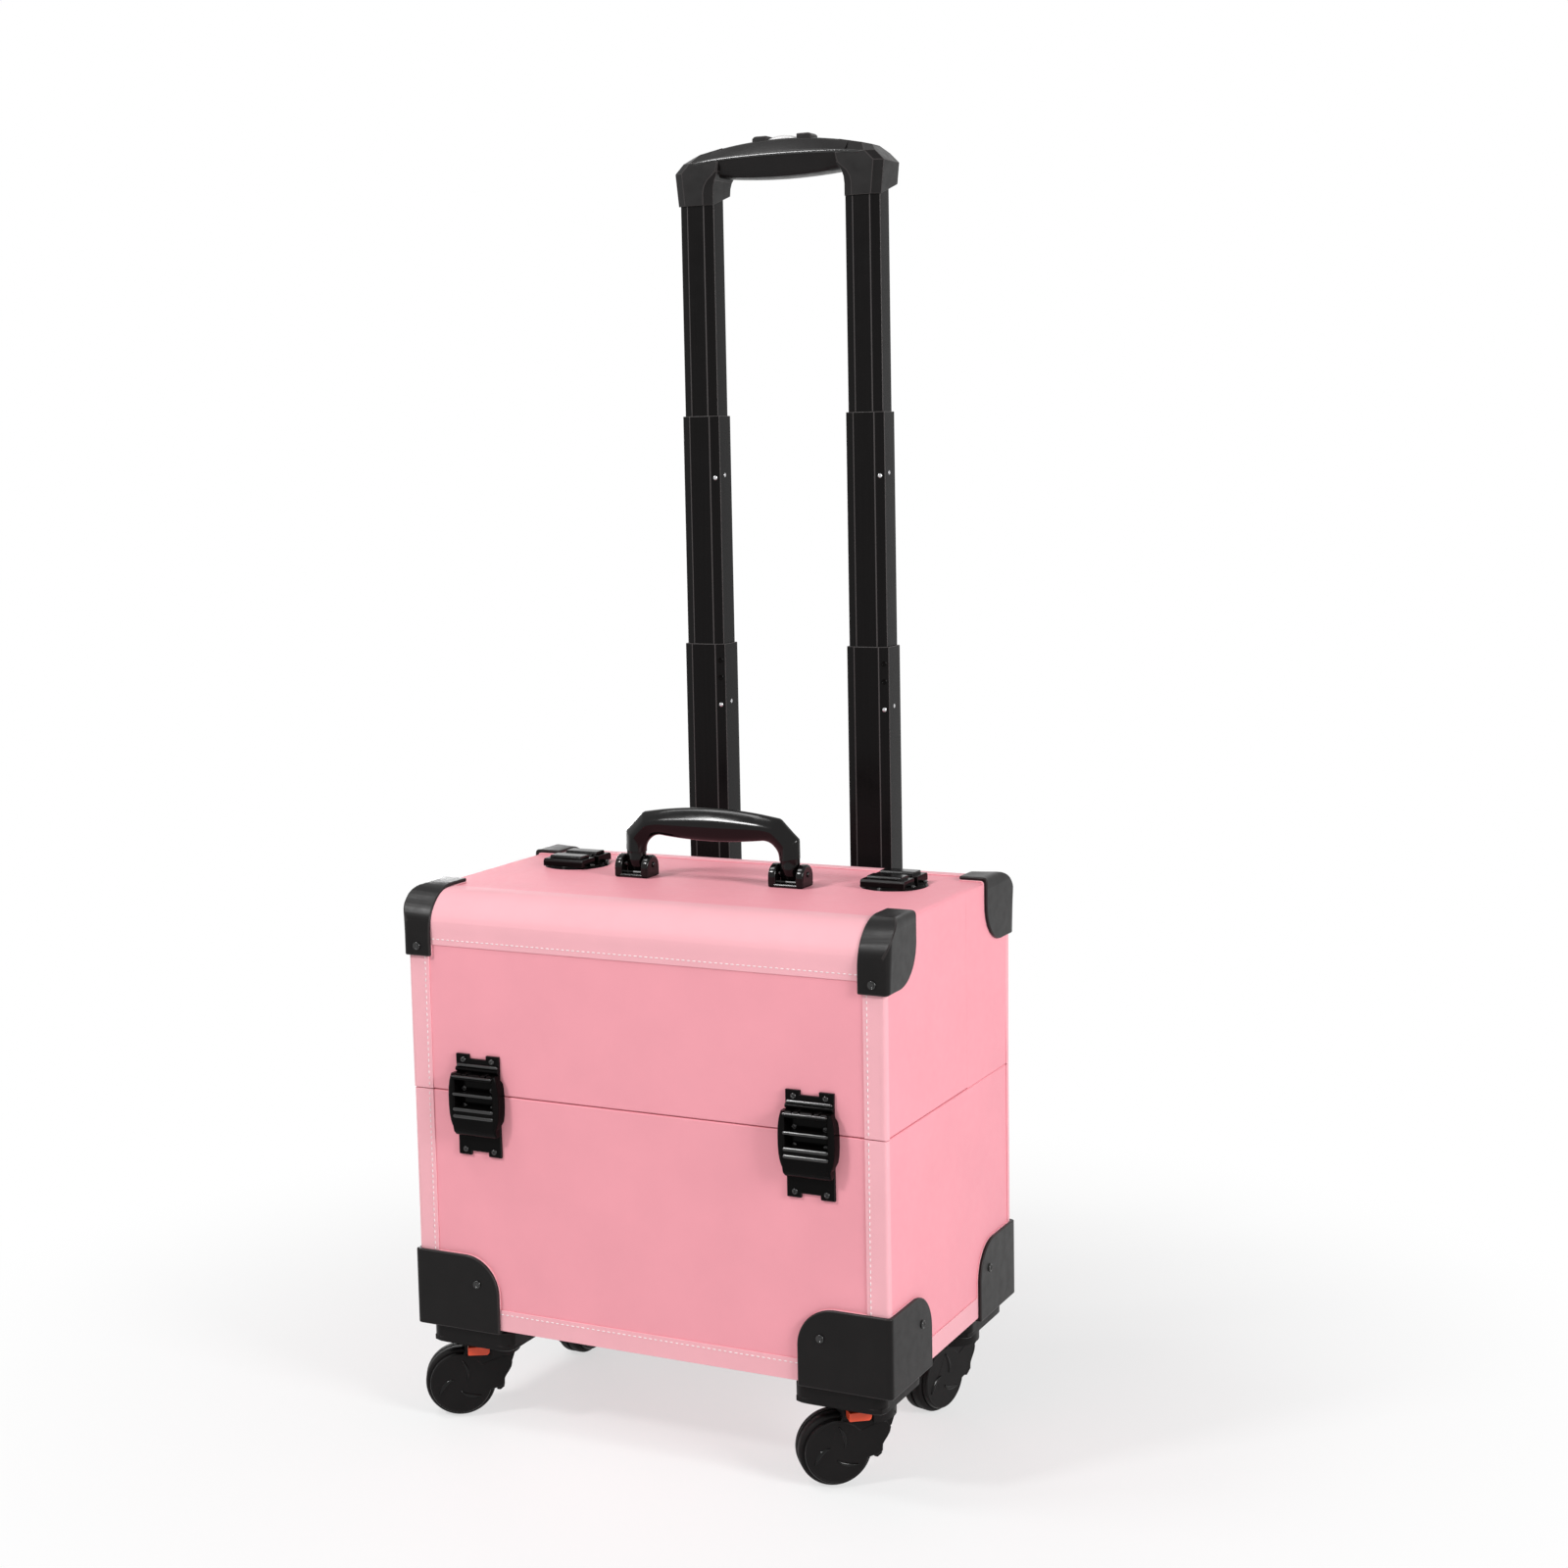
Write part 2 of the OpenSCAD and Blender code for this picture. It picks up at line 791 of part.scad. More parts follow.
module carry_handle() {
    knuckle = 5.5;
    round = 5;
    color(black) place() translate([0, handle_y, top_z])
        difference() {
            union() {
                intersection() {
                    through(handle_t) handle_outline();
                    across(case_w) translate([0, handle_rise - far/2]) round_rect(handle_t, far, round);
                }
                for (side = [-1, 1])
                    translate([side*handle_span/2, 0, handle_pin_z]) rod_x(knuckle, leg_w);
            }
            for (side = [-1, 1]) {
                translate([side*handle_span/2, 0, handle_pin_z])
                    rod_x(handle_pin_r + run_fit, 2*leg_w);
                translate([side*handle_span/2 - leg_w, -handle_t, 0])
                    cube([2*leg_w, handle_t - knuckle, handle_pin_z + knuckle]);
                translate([side*handle_span/2 - leg_w, knuckle, 0])
                    cube([2*leg_w, handle_t, handle_pin_z + knuckle]);
            }
        }
}

// Pull handle

// Section of a tube, front corners bevelled, numbered from the sleeve (0) to the top tube (3)
module tube_section(stage, inset) {
    w = tube_w + (1 - stage)*tube_step_w - 2*inset;
    d = tube_d + (1 - stage)*tube_step_d - 2*inset;
    polygon([[-w/2, d/2], [-w/2, -d/2 + bevel_d], [-w/2 + bevel_w, -d/2],
        [w/2 - bevel_w, -d/2], [w/2, -d/2 + bevel_d], [w/2, d/2]]);
}

module tube(stage, left, low, high) {
    color(black) place() translate([left ? -tube_x : tube_x, tube_y, low])
        linear_extrude(high - low) difference() {
            tube_section(stage, 0);
            tube_section(stage, tube_wall);
        }
}

lower_top = sleeve_top + stage_rise;
middle_top = lower_top + stage_rise;
grip_z = middle_top + grip_rise;
socket_d = 12;
upper_top = grip_z + socket_d;
grip_wall = 1.2;
sleeve_foot = 3;
sleeve_low = binding_w + sleeve_foot + 2*clear;
clamp_h = 22;
clamp_z = [sleeve_low - sleeve_foot, top_z - top_r - 1.4*clamp_h];
clamp_w = 50;
clamp_back = 3;

// Clamps that hold the sleeves to the back of the case; the lower pair closes the sleeves' ends
module trolley_brackets() {
    depth = tube_back + (tube_d + tube_step_d)/2 + clamp_back;
    color(black) place()
        for (side = [-1, 1], i = [0, 1])
            translate([side*tube_x, 0, clamp_z[i]])
                difference() {
                    translate([0, case_d/2 + depth/2, 0])
                        linear_extrude(clamp_h) round_rect(clamp_w, depth, clamp_back);
                    translate([0, tube_y, i == 0 ? sleeve_foot : -clamp_h])
                        linear_extrude(3*clamp_h) tube_section(0, 0);
                }
}

// Front view of the grip from the bottom of its ends: tapered ends, an arched bar and a belly
module grip_outline() {
    end_in = tube_x - tube_w/2 + tube_step_w - grip_wall;
    end_out = tube_x + tube_w/2 - tube_step_w + grip_wall;
    flare = 2.5;
    shoulder = 12;
    arch_half = end_out + flare - shoulder;
    arch_r = (arch_half*arch_half + grip_arch*grip_arch)/(2*grip_arch);
    inner_top = grip_end_h - grip_bar_h;
    inner_r = 4;
    belly = 3;
    belly_half = end_in - inner_r;
    belly_r = (belly_half*belly_half + belly*belly)/(2*belly);
    difference() {
        intersection() {
            polygon([[-end_out, 0], [-end_out - flare, grip_end_h - shoulder],
                [shoulder - arch_half, grip_end_h + shoulder], [arch_half - shoulder, grip_end_h + shoulder],
                [end_out + flare, grip_end_h - shoulder], [end_out, 0]]);
            translate([0, grip_end_h + grip_arch - arch_r]) circle(arch_r, $fn = 256);
        }
        difference() {
            union() {
                translate([-end_in, -inner_r]) square([2*end_in, inner_top]);
                translate([-end_in + inner_r, -inner_r]) square([2*(end_in - inner_r), inner_top + inner_r]);
                for (side = [-1, 1])
                    translate([side*(end_in - inner_r), inner_top - inner_r]) circle(inner_r);
            }
            translate([0, inner_top - belly + belly_r]) circle(belly_r, $fn = 256);
        }
    }
}

rod_r = 2;
link_h = 4;
link_w = 6;
link_half = tube_x + rod_r;
link_depth = link_w + grip_shift;
link_z = grip_end_h - grip_bar_h + grip_wall + button_travel + clear;
button_floor = link_z + link_h;

module trolley_grip() {
    round = 8;
    color(black) place() translate([0, tube_y, grip_z])
        difference() {
            translate([0, grip_shift, 0]) intersection() {
                through(grip_d) grip_outline();
                across(case_w) translate([0, grip_end_h + grip_arch - far/2])
                    round_rect(grip_d, far, round);
            }
            for (side = [-1, 1])
                translate([side*tube_x, 0, 0]) {
                    translate([0, 0, -socket_d]) linear_extrude(2*socket_d) tube_section(3, 0);
                    cylinder(r = rod_r + clear, h = button_floor);
                }
            translate([-link_half - clear, -link_w/2 - clear, link_z - button_travel - clear])
                cube([2*(link_half + clear), link_depth + 2*clear, link_h + button_travel + 2*clear]);
            translate([-button_l/2 - clear, grip_shift - button_w/2 - clear, 0])
                translate([0, 0, button_floor - button_travel - clear])
                    cube([button_l + 2*clear, button_w + 2*clear, grip_end_h]);
        }
}

// Button with two raised ends and a lower arched middle
module release_button() {
    rise = 3;
    dip = 1;
    end_l = button_l/4;
    end_r = 1.5;
    top = grip_end_h + grip_arch;
    color(black) place() translate([0, grip_y, grip_z])
        translate([0, 0, button_floor]) {
            translate([-button_l/2, -button_w/2, 0]) cube([button_l, button_w, top - button_floor - dip]);
            for (side = [-1, 1])
                translate([side*(button_l - end_l)/2, 0, 0])
                    linear_extrude(top - button_floor + rise) round_rect(end_l, button_w, end_r);
        }
}

// Rods that carry the button's push down the top tubes, joined by a link inside the grip
module release_rods() {
    rod_l = tube_l - 2*socket_d;
    color(steel) place() translate([0, tube_y, grip_z]) {
        translate([-tube_x, -link_w/2, link_z]) cube([2*tube_x, link_depth, link_h]);
        for (side = [-1, 1])
            translate([side*tube_x, 0, link_z + link_h/2 - rod_l]) cylinder(r = rod_r, h = rod_l);
    }
}

// Casters

wheel_r = wheel_d/2;
axle_z = wheel_r - caster_h;
fork_gap = 0.4;
fork_top = -guard_t - block_t - fork_gap;
housing_low = fork_top - housing_h;
cheek_gap = 0.8;
cheek_y = wheel_w/2 + cheek_gap + cheek_t/2;
wheel_gap = 1.2;
stem_l = 9;

// Moves a caster's piece from its swivel axis to its corner, turned about the axis
module caster(left, rear, turn) {
    place() translate([left ? -swivel_x : swivel_x, rear ? swivel_y : -swivel_y, 0])
        rotate([0, 0, turn]) children();
}

// Mounting blocks, each with the stem that its fork turns on
module caster_blocks() {
    block_r = 8;
    color(black) place()
        for (x = [-swivel_x, swivel_x], y = [-swivel_y, swivel_y])
            translate([x, y, -guard_t - block_t]) {
                linear_extrude(block_t) round_rect(block_w, block_w, block_r);
                translate([0, 0, -stem_l]) cylinder(r = stem_r, h = stem_l + block_t/2);
            }
}

// Side view of a fork's cheek, from the housing to the axle
module cheek_outline() {
    boss_r = 8.5;
    inset = 3;
    drop = 6;
    translate([-trail, axle_z]) circle(boss_r);
    polygon([[-trail - boss_r, axle_z], [-housing_r + inset, housing_low + inset],
        [housing_r - inset, housing_low + inset], [housing_r - 2*inset, housing_low - drop],
        [-trail + boss_r/2, axle_z - boss_r*0.87]]);
}

// Side view of the mudguard behind the wheel
module mudguard_outline() {
    guard_r = wheel_r + wheel_gap;
    thick = 4;
    intersection() {
        translate([-trail, axle_z]) difference() {
            circle(guard_r + thick);
            circle(guard_r);
        }
        translate([-trail/2, axle_z - thick/2]) square([housing_r + trail/2, guard_r + thick]);
    }
}

brake_z = fork_top - 9.5;
brake_room = 2;
brake_pin_x = -3;
brake_l = 13;
brake_h = 4.5;
brake_r = 2.4;
brake_pin_r = 1.2;
brake_in = cheek_y + cheek_t/2;
brake_out = housing_r + 1;

// Opening in a front fork's housing where the brake tab swings
module brake_window() {
    translate([brake_pin_x - brake_l - brake_room, -far - brake_in + clear, brake_z - brake_h - brake_room])
        cube([brake_l + brake_r + brake_room + 2*clear, far, 2*brake_h + 2*brake_room]);
}

module fork(left, rear, turn) {
    color(black) caster(left, rear, turn) {
        difference() {
            union() {
                translate([0, 0, housing_low]) cylinder(r = housing_r, h = housing_h);
                for (side = [-1, 1])
                    translate([0, side*cheek_y, 0]) through(cheek_t) cheek_outline();
                through(2*cheek_y) mudguard_outline();
            }
            translate([-trail, 0, axle_z]) rotate([90, 0, 0])
                cylinder(r = wheel_r + wheel_gap, h = wheel_w + 2*cheek_gap, center = true);
            translate([0, 0, fork_top - stem_l - clear]) cylinder(r = stem_r + run_fit, h = far);
            if (!rear) brake_window();
        }
        translate([-trail, 0, axle_z]) rotate([90, 0, 0])
            cylinder(r = axle_r, h = 2*cheek_y + cheek_t, center = true);
        if (!rear)
            translate([brake_pin_x, -brake_in + 2*clear, brake_z]) rotate([90, 0, 0])
                cylinder(r = brake_pin_r, h = brake_out - brake_in);
    }
}

// Red tab of a front caster's brake, pressed down with a toe
module brake_tab(left, turn) {
    color(brake_red) caster(left, false, turn)
        difference() {
            union() {
                translate([brake_pin_x - brake_l, -brake_out, brake_z - brake_h/2])
                    cube([brake_l, brake_out - brake_in, brake_h]);
                translate([brake_pin_x, -brake_in, brake_z]) rotate([90, 0, 0])
                    cylinder(r = brake_r, h = brake_out - brake_in);
            }
            translate([brake_pin_x, far/2, brake_z]) rotate([90, 0, 0])
                cylinder(r = brake_pin_r + run_fit, h = far);
        }
}

// Wheel turned about its axle: rounded tread, dished faces and a hub
module wheel(left, rear, turn) {
    tread_r = 3;
    hub_r = 8;
    rim_r = wheel_r - 6;
    dish = 2;
    color(black) caster(left, rear, turn) translate([-trail, 0, axle_z]) rotate([90, 0, 0])
        rotate_extrude($fn = 96) difference() {
            union() {
                translate([axle_r + run_fit, -wheel_w/2])
                    square([wheel_r - tread_r - axle_r - run_fit, wheel_w]);
                translate([axle_r + run_fit, -wheel_w/2 + tread_r])
                    square([wheel_r - axle_r - run_fit, wheel_w - 2*tread_r]);
                for (side = [-1, 1])
                    translate([wheel_r - tread_r, side*(wheel_w/2 - tread_r)]) circle(tread_r);
            }
            for (side = [-1, 1])
                translate([hub_r, side*wheel_w/2 - dish]) square([rim_r - hub_r, 2*dish]);
        }
}

// Nodes

base_shell();
base_binding();
base_lining();
base_rim();
rear_hood();
hood_binding();
hood_lining();
lower_guard(true, false);  // lower_guard_front_left
lower_guard(false, false);  // lower_guard_front_right
lower_guard(true, true);  // lower_guard_rear_left
lower_guard(false, true);  // lower_guard_rear_right
upper_guard(true, true);  // upper_guard_rear_left
upper_guard(false, true);  // upper_guard_rear_right
base_rivets();
latch_keeper(true);  // latch_keeper_left
latch_keeper(false);  // latch_keeper_right
base_screws();
hinge_rear(true);  // hinge_rear_left
hinge_rear(false);  // hinge_rear_right
hinge_pins();
caster_blocks();
tube(0, true, sleeve_low, sleeve_top);  // trolley_sleeve_left
tube(0, false, sleeve_low, sleeve_top);  // trolley_sleeve_right
trolley_brackets();
lid_shell();
lid_binding();
lid_lining();
upper_guard(true, false);  // upper_guard_front_left
upper_guard(false, false);  // upper_guard_front_right
lid_rivets();
latch_plate(true);  // latch_plate_left
latch_plate(false);  // latch_plate_right
lid_pins();
lid_screws();
hinge_front(true);  // hinge_front_left
hinge_front(false);  // hinge_front_right
handle_bracket(true);  // handle_bracket_left
handle_bracket(false);  // handle_bracket_right
latch_lever(true);  // latch_lever_left
latch_lever(false);  // latch_lever_right
carry_handle();
tube(1, true, lower_top - tube_l, lower_top);  // lower_tube_left
tube(1, false, lower_top - tube_l, lower_top);  // lower_tube_right
tube(2, true, middle_top - tube_l, middle_top);  // middle_tube_left
tube(2, false, middle_top - tube_l, middle_top);  // middle_tube_right
tube(3, true, upper_top - tube_l, upper_top);  // upper_tube_left
tube(3, false, upper_top - tube_l, upper_top);  // upper_tube_right
trolley_grip();
release_button();
release_rods();
fork(true, false, turn_front_left);  // fork_front_left
fork(false, false, turn_front_right);  // fork_front_right
fork(true, true, turn_rear_left);  // fork_rear_left
fork(false, true, turn_rear_right);  // fork_rear_right
wheel(true, false, turn_front_left);  // wheel_front_left
wheel(false, false, turn_front_right);  // wheel_front_right
wheel(true, true, turn_rear_left);  // wheel_rear_left
wheel(false, true, turn_rear_right);  // wheel_rear_right
brake_tab(true, turn_front_left);  // brake_tab_left
brake_tab(false, turn_front_right);  // brake_tab_right
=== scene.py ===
import json
import math

import bmesh
import bpy
from bpy.props import FloatProperty, FloatVectorProperty, PointerProperty
from mathutils import Matrix, Vector


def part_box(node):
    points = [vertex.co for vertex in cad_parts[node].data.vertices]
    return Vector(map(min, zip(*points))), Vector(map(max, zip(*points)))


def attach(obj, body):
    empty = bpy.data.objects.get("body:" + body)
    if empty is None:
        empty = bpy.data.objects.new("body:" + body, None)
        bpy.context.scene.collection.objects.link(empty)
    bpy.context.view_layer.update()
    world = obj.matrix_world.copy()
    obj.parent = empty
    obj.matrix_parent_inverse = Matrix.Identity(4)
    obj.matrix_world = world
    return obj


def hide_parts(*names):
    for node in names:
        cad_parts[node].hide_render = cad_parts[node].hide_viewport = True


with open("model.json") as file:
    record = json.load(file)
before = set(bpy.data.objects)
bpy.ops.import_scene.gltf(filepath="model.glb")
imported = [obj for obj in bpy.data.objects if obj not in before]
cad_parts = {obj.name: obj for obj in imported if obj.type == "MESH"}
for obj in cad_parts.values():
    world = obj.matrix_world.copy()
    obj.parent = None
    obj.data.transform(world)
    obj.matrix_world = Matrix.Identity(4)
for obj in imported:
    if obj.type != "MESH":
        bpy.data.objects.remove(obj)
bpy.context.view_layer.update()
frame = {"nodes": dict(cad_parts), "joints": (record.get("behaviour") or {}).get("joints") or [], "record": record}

bl_info = {
    "name": "Rolling makeup case",
    "version": (1, 0, 0),
    "blender": (4, 5, 0),
    "location": "3D View > Sidebar > Makeup case",
    "description": "Dresses the packed rolling makeup case: leather, strips, guards, buckles, handles and casters",
    "category": "Object",
}

MM = 0.001
CORNERS = ("front_left", "front_right", "rear_left", "rear_right")
SIDES = ("left", "right")

RECORD = frame["record"]
BODY_OF = {node: body for body, nodes in RECORD["behaviour"]["bodies"].items() for node in nodes}
JOINTS = {joint["name"]: joint for joint in frame["joints"]}

BOX_LOW, BOX_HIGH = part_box("base_shell")
ORIGIN = Vector(((BOX_LOW.x + BOX_HIGH.x)/2, (BOX_LOW.y + BOX_HIGH.y)/2, BOX_LOW.z))
CASE_W = (BOX_HIGH.x - BOX_LOW.x)/MM
CASE_D = (BOX_HIGH.y - BOX_LOW.y)/MM
SEAM_Z = (BOX_HIGH.z - BOX_LOW.z)/MM
TOP_Z = (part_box("lid_shell")[1].z - BOX_LOW.z)/MM
SPLIT_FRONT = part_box("lid_shell")[1].y
SPLIT_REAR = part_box("rear_hood")[0].y


def at(x, y, z):
    """Point given in millimetres from the middle of the box's underside."""
    return ORIGIN + Vector((x, y, z))*MM


def span(node):
    """Lowest and highest corner of a CAD node in millimetres from the middle of the box's underside."""
    low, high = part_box(node)
    return (low - ORIGIN)/MM, (high - ORIGIN)/MM


# Settings

def colour_setting(name, description, default):
    """Colour that a user may change."""
    return FloatVectorProperty(name=name, description=description, subtype="COLOR", default=default, min=0, max=1)


def length_setting(name, description, default, least, most):
    """Length that a user may change between its limits, given in millimetres."""
    return FloatProperty(name=name, description=description, unit="LENGTH",
                         default=default*MM, min=least*MM, max=most*MM)


def angle_setting(name, description, degrees):
    """Angle that a user may change."""
    return FloatProperty(name=name, description=description, subtype="ANGLE", default=math.radians(degrees))


def power_setting(name, description, default):
    """Power of a lamp that a user may change."""
    return FloatProperty(name=name, description=description, unit="POWER", default=default)


class LeatherSettings(bpy.types.PropertyGroup):
    """Colours and grain of the leather and its thread."""
    panel_colour: colour_setting("Panel colour", "Colour of the leather panels", (0.90, 0.365, 0.425))
    # The strips are paler than the panels, partly their own tone and partly a painted sheen of the rounded top strip
    strip_colour: colour_setting("Strip colour", "Colour of the leather strips along the edges", (0.90, 0.455, 0.505))
    thread_colour: colour_setting("Thread colour", "Colour of the stitching thread", (0.96, 0.85, 0.85))
    grain: length_setting("Grain", "Size of one cell of the leather's grain", 1.1, 0.2, 5)
    stitch_pitch: length_setting("Stitch pitch", "Distance from one stitch to the next", 4.0, 2, 10)
    stitch_length: length_setting("Stitch length", "Length of one stitch", 2.7, 1, 8)
    thread_radius: length_setting("Thread radius", "Radius of the stitching thread", 0.38, 0.1, 1)


class HardwareSettings(bpy.types.PropertyGroup):
    """Colours and edge rounding of the guards, buckles, handles and casters."""
    guard_colour: colour_setting("Guard colour", "Colour of the moulded black parts", (0.0058, 0.005, 0.005))
    tube_colour: colour_setting("Tube colour", "Colour of the black anodised tubes", (0.0055, 0.005, 0.005))
    brake_colour: colour_setting("Brake colour", "Colour of the brake tabs", (0.80, 0.085, 0.03))
    guard_round: length_setting("Guard rounding", "Edge radius of the corner guards", 1.0, 0.1, 2)
    metal_round: length_setting("Metal rounding", "Edge radius of the buckles' stamped parts", 0.5, 0.1, 1)
    moulded_round: length_setting("Moulded rounding", "Edge radius of the brackets, clamps and casters", 0.9, 0.1, 2)


class StudioSettings(bpy.types.PropertyGroup):
    """Camera and light of the studio."""
    camera_place: FloatVectorProperty(
        name="Camera place", description="Where the camera stands, from the middle of the box's underside",
        subtype="TRANSLATION", default=(0.79006, -1.49529, 0.60628))
    azimuth: angle_setting("Azimuth", "How far the camera stands round to the right", 26.42)
    elevation: angle_setting("Elevation", "How far the camera looks down", 6.61)
    roll: angle_setting("Roll", "Turn of the camera about its own axis", -1.11)
    lens: FloatProperty(
        name="Lens", description="Focal length on a 36 mm sensor, in millimetres", default=55.93)
    shift_x: FloatProperty(name="Shift X", description="Sideways shift of the picture", default=0.0103)
    shift_y: FloatProperty(name="Shift Y", description="Upright shift of the picture", default=-0.0315)
    side_power: power_setting("Side light", "Power of the large light on the right", 44)
    front_power: power_setting("Front light", "Power of the light in front, high on the left", 20)
    top_power: power_setting("Top light", "Power of the light overhead", 10)
    back_power: power_setting("Back light", "Power of the large light behind", 12)


# Finishes

# Sockets of a Mix node: its share, two colours and their mix, two plain values and their mix
SHARE, FIRST_COLOUR, SECOND_COLOUR, MIXED_COLOUR = 0, 6, 7, 2
FIRST_VALUE, SECOND_VALUE, MIXED_VALUE = 2, 3, 0


def add_node(tree, kind, inputs=None, **settings):
    """New shader node with its settings made and its inputs set or linked."""
    made = tree.nodes.new(kind)
    for key, value in settings.items():
        setattr(made, key, value)
    for key, value in (inputs or {}).items():
        if isinstance(value, bpy.types.NodeSocket):
            tree.links.new(value, made.inputs[key])
        else:
            made.inputs[key].default_value = value
    return made


def maths(tree, operation, first, second):
    """Two values put together by an operation."""
    return add_node(tree, "ShaderNodeMath", {0: first, 1: second}, operation=operation).outputs[0]


def start_finish(name, **sockets):
    """New material with its shader's plain values set."""
    finish = bpy.data.materials.new(name)
    finish.use_nodes = True
    shader = finish.node_tree.nodes["Principled BSDF"]
    for key, value in sockets.items():
        shader.inputs[key.replace("_", " ")].default_value = value
    place = add_node(finish.node_tree, "ShaderNodeTexCoord").outputs["Object"]
    return finish.node_tree, shader, place


def noise(tree, place, scale, detail=3.0):
    """Soft noise between 0 and 1 at a scale in features per metre."""
    return add_node(tree, "ShaderNodeTexNoise", {"Vector": place, "Scale": scale, "Detail": detail}).outputs["Fac"]


def spread(tree, value, low, high):
    """Noise stretched over a range."""
    usual_low, usual_high = 0.3, 0.7
    made = add_node(tree, "ShaderNodeMapRange", {"Value": value, "From Min": usual_low, "From Max": usual_high,
                                                 "To Min": low, "To Max": high})
    return made.outputs["Result"]


def vary_colour(tree, shader, colour, factor, dark, light):
    """Lets the shader's colour drift between a darker and a lighter tone."""
    tone = add_node(tree, "ShaderNodeMix", {
        SHARE: factor, FIRST_COLOUR: (*[c*dark for c in colour], 1),
        SECOND_COLOUR: (*[min(c*light, 1) for c in colour], 1)}, data_type="RGBA")
    tree.links.new(tone.outputs[MIXED_COLOUR], shader.inputs["Base Color"])


def vary_gloss(tree, shader, place, patch, low, high):
    """Lets the shader's roughness drift in soft patches."""
    tree.links.new(spread(tree, noise(tree, place, patch), low, high), shader.inputs["Roughness"])


def add_bump(tree, shader, height, distance, strength):
    """Fine relief on the shader."""
    bump = add_node(tree, "ShaderNodeBump", {"Height": height, "Distance": distance, "Strength": strength})
    tree.links.new(bump.outputs["Normal"], shader.inputs["Normal"])


def blend_heights(tree, first, second, share):
    """Two heights mixed, the second by its share."""
    made = add_node(tree, "ShaderNodeMix", {SHARE: share, FIRST_VALUE: first, SECOND_VALUE: second},
                    data_type="FLOAT")
    return made.outputs[MIXED_VALUE]


def paint_edge_highlights(tree, shader, colour, edge_highlight_gain):
    """Paints the rounded edges in a paler tone, a painted highlight where light catches the edges."""
    highlight_share = add_node(tree, "ShaderNodeAttribute", attribute_name="rubbed").outputs["Fac"]
    plain = shader.inputs["Base Color"].links[0].from_socket
    tone = add_node(tree, "ShaderNodeMix", {
        SHARE: highlight_share, FIRST_COLOUR: plain, SECOND_COLOUR: (*[min(c*edge_highlight_gain, 1) for c in colour], 1)}, data_type="RGBA")
    tree.links.new(tone.outputs[MIXED_COLOUR], shader.inputs["Base Color"])


def leather_finish(name, colour, grain, crease):
    """Semi-matt coated leather with a pebbled grain and soft mottling."""
    wrinkle, wrinkle_share, relief = 2.2/grain, 0.35, 0.25*MM
    mottle, gloss_patch = 22, 160
    tree, shader, place = start_finish(name, Specular_IOR_Level=0.22)
    cells = add_node(tree, "ShaderNodeTexVoronoi", {"Vector": place, "Scale": 1/grain, "Randomness": 1.0},
                     feature="SMOOTH_F1").outputs["Distance"]
    add_bump(tree, shader, blend_heights(tree, cells, noise(tree, place, wrinkle), wrinkle_share), relief, crease)
    vary_colour(tree, shader, colour, spread(tree, noise(tree, place, mottle, 4.0), 0, 1), 0.975, 1.02)
    vary_gloss(tree, shader, place, gloss_patch, 0.48, 0.6)


def moulded_finish(name, colour, low, high, specular, texture, strength, edge_highlight_gain=1.0):
    """Moulded plastic with a fine spark texture, a slight bloom, uneven gloss and painted highlights on its rounded
    edges.
    """
    relief, bloom, gloss_patch = 0.06*MM, 45, 120
    tree, shader, place = start_finish(name, Specular_IOR_Level=specular)
    add_bump(tree, shader, noise(tree, place, texture, 2.0), relief, strength)
    vary_colour(tree, shader, colour, spread(tree, noise(tree, place, bloom, 4.0), 0, 1), 0.85, 1.2)
    paint_edge_highlights(tree, shader, colour, edge_highlight_gain)
    vary_gloss(tree, shader, place, gloss_patch, low, high)


def drawn_finish(name, colour, metallic, low, high, specular, along, edge_highlight_gain=1.0):
    """Metal with fine drawing lines along one axis and painted highlights on its rounded edges."""
    lines_across, lines_along, relief, strength, gloss_patch = 2500.0, 12.0, 0.03*MM, 0.12, 90
    tree, shader, place = start_finish(name, Metallic=metallic, Specular_IOR_Level=specular)
    stretch = [lines_along if axis == along else lines_across for axis in range(3)]
    lines = add_node(tree, "ShaderNodeMapping", {"Vector": place, "Scale": stretch}).outputs["Vector"]
    streaks = noise(tree, lines, 1.0, 2.0)
    add_bump(tree, shader, streaks, relief, strength)
    vary_colour(tree, shader, colour, spread(tree, streaks, 0, 1), 0.85, 1.15)
    paint_edge_highlights(tree, shader, colour, edge_highlight_gain)
    vary_gloss(tree, shader, place, gloss_patch, low, high)


def cloth_finish(name, colour):
    """Plain woven lining cloth."""
    threads, relief, gloss_patch = 420.0, 0.2*MM, 70
    tree, shader, place = start_finish(name, Specular_IOR_Level=0.2, Sheen_Weight=0.25)
    weave = [add_node(tree, "ShaderNodeTexWave", {"Vector": place, "Scale": threads, "Distortion": 0.6},
                      bands_direction=axis).outputs["Fac"] for axis in ("X", "Z")]
    height = blend_heights(tree, *weave, 0.5)
    add_bump(tree, shader, height, relief, 0.5)
    vary_colour(tree, shader, colour, height, 0.7, 1.25)
    vary_gloss(tree, shader, place, gloss_patch, 0.82, 0.95)


def thread_finish(name, colour):
    """Twisted thread."""
    strands, relief, gloss_patch = 900.0, 0.1*MM, 300
    tree, shader, place = start_finish(name, Specular_IOR_Level=0.25, Sheen_Weight=0.2)
    twist = add_node(tree, "ShaderNodeTexWave", {"Vector": place, "Scale": strands, "Distortion": 1.0},
                     bands_direction="DIAGONAL").outputs["Fac"]
    add_bump(tree, shader, twist, relief, 0.5)
    vary_colour(tree, shader, colour, twist, 0.9, 1.05)
    vary_gloss(tree, shader, place, gloss_patch, 0.55, 0.75)


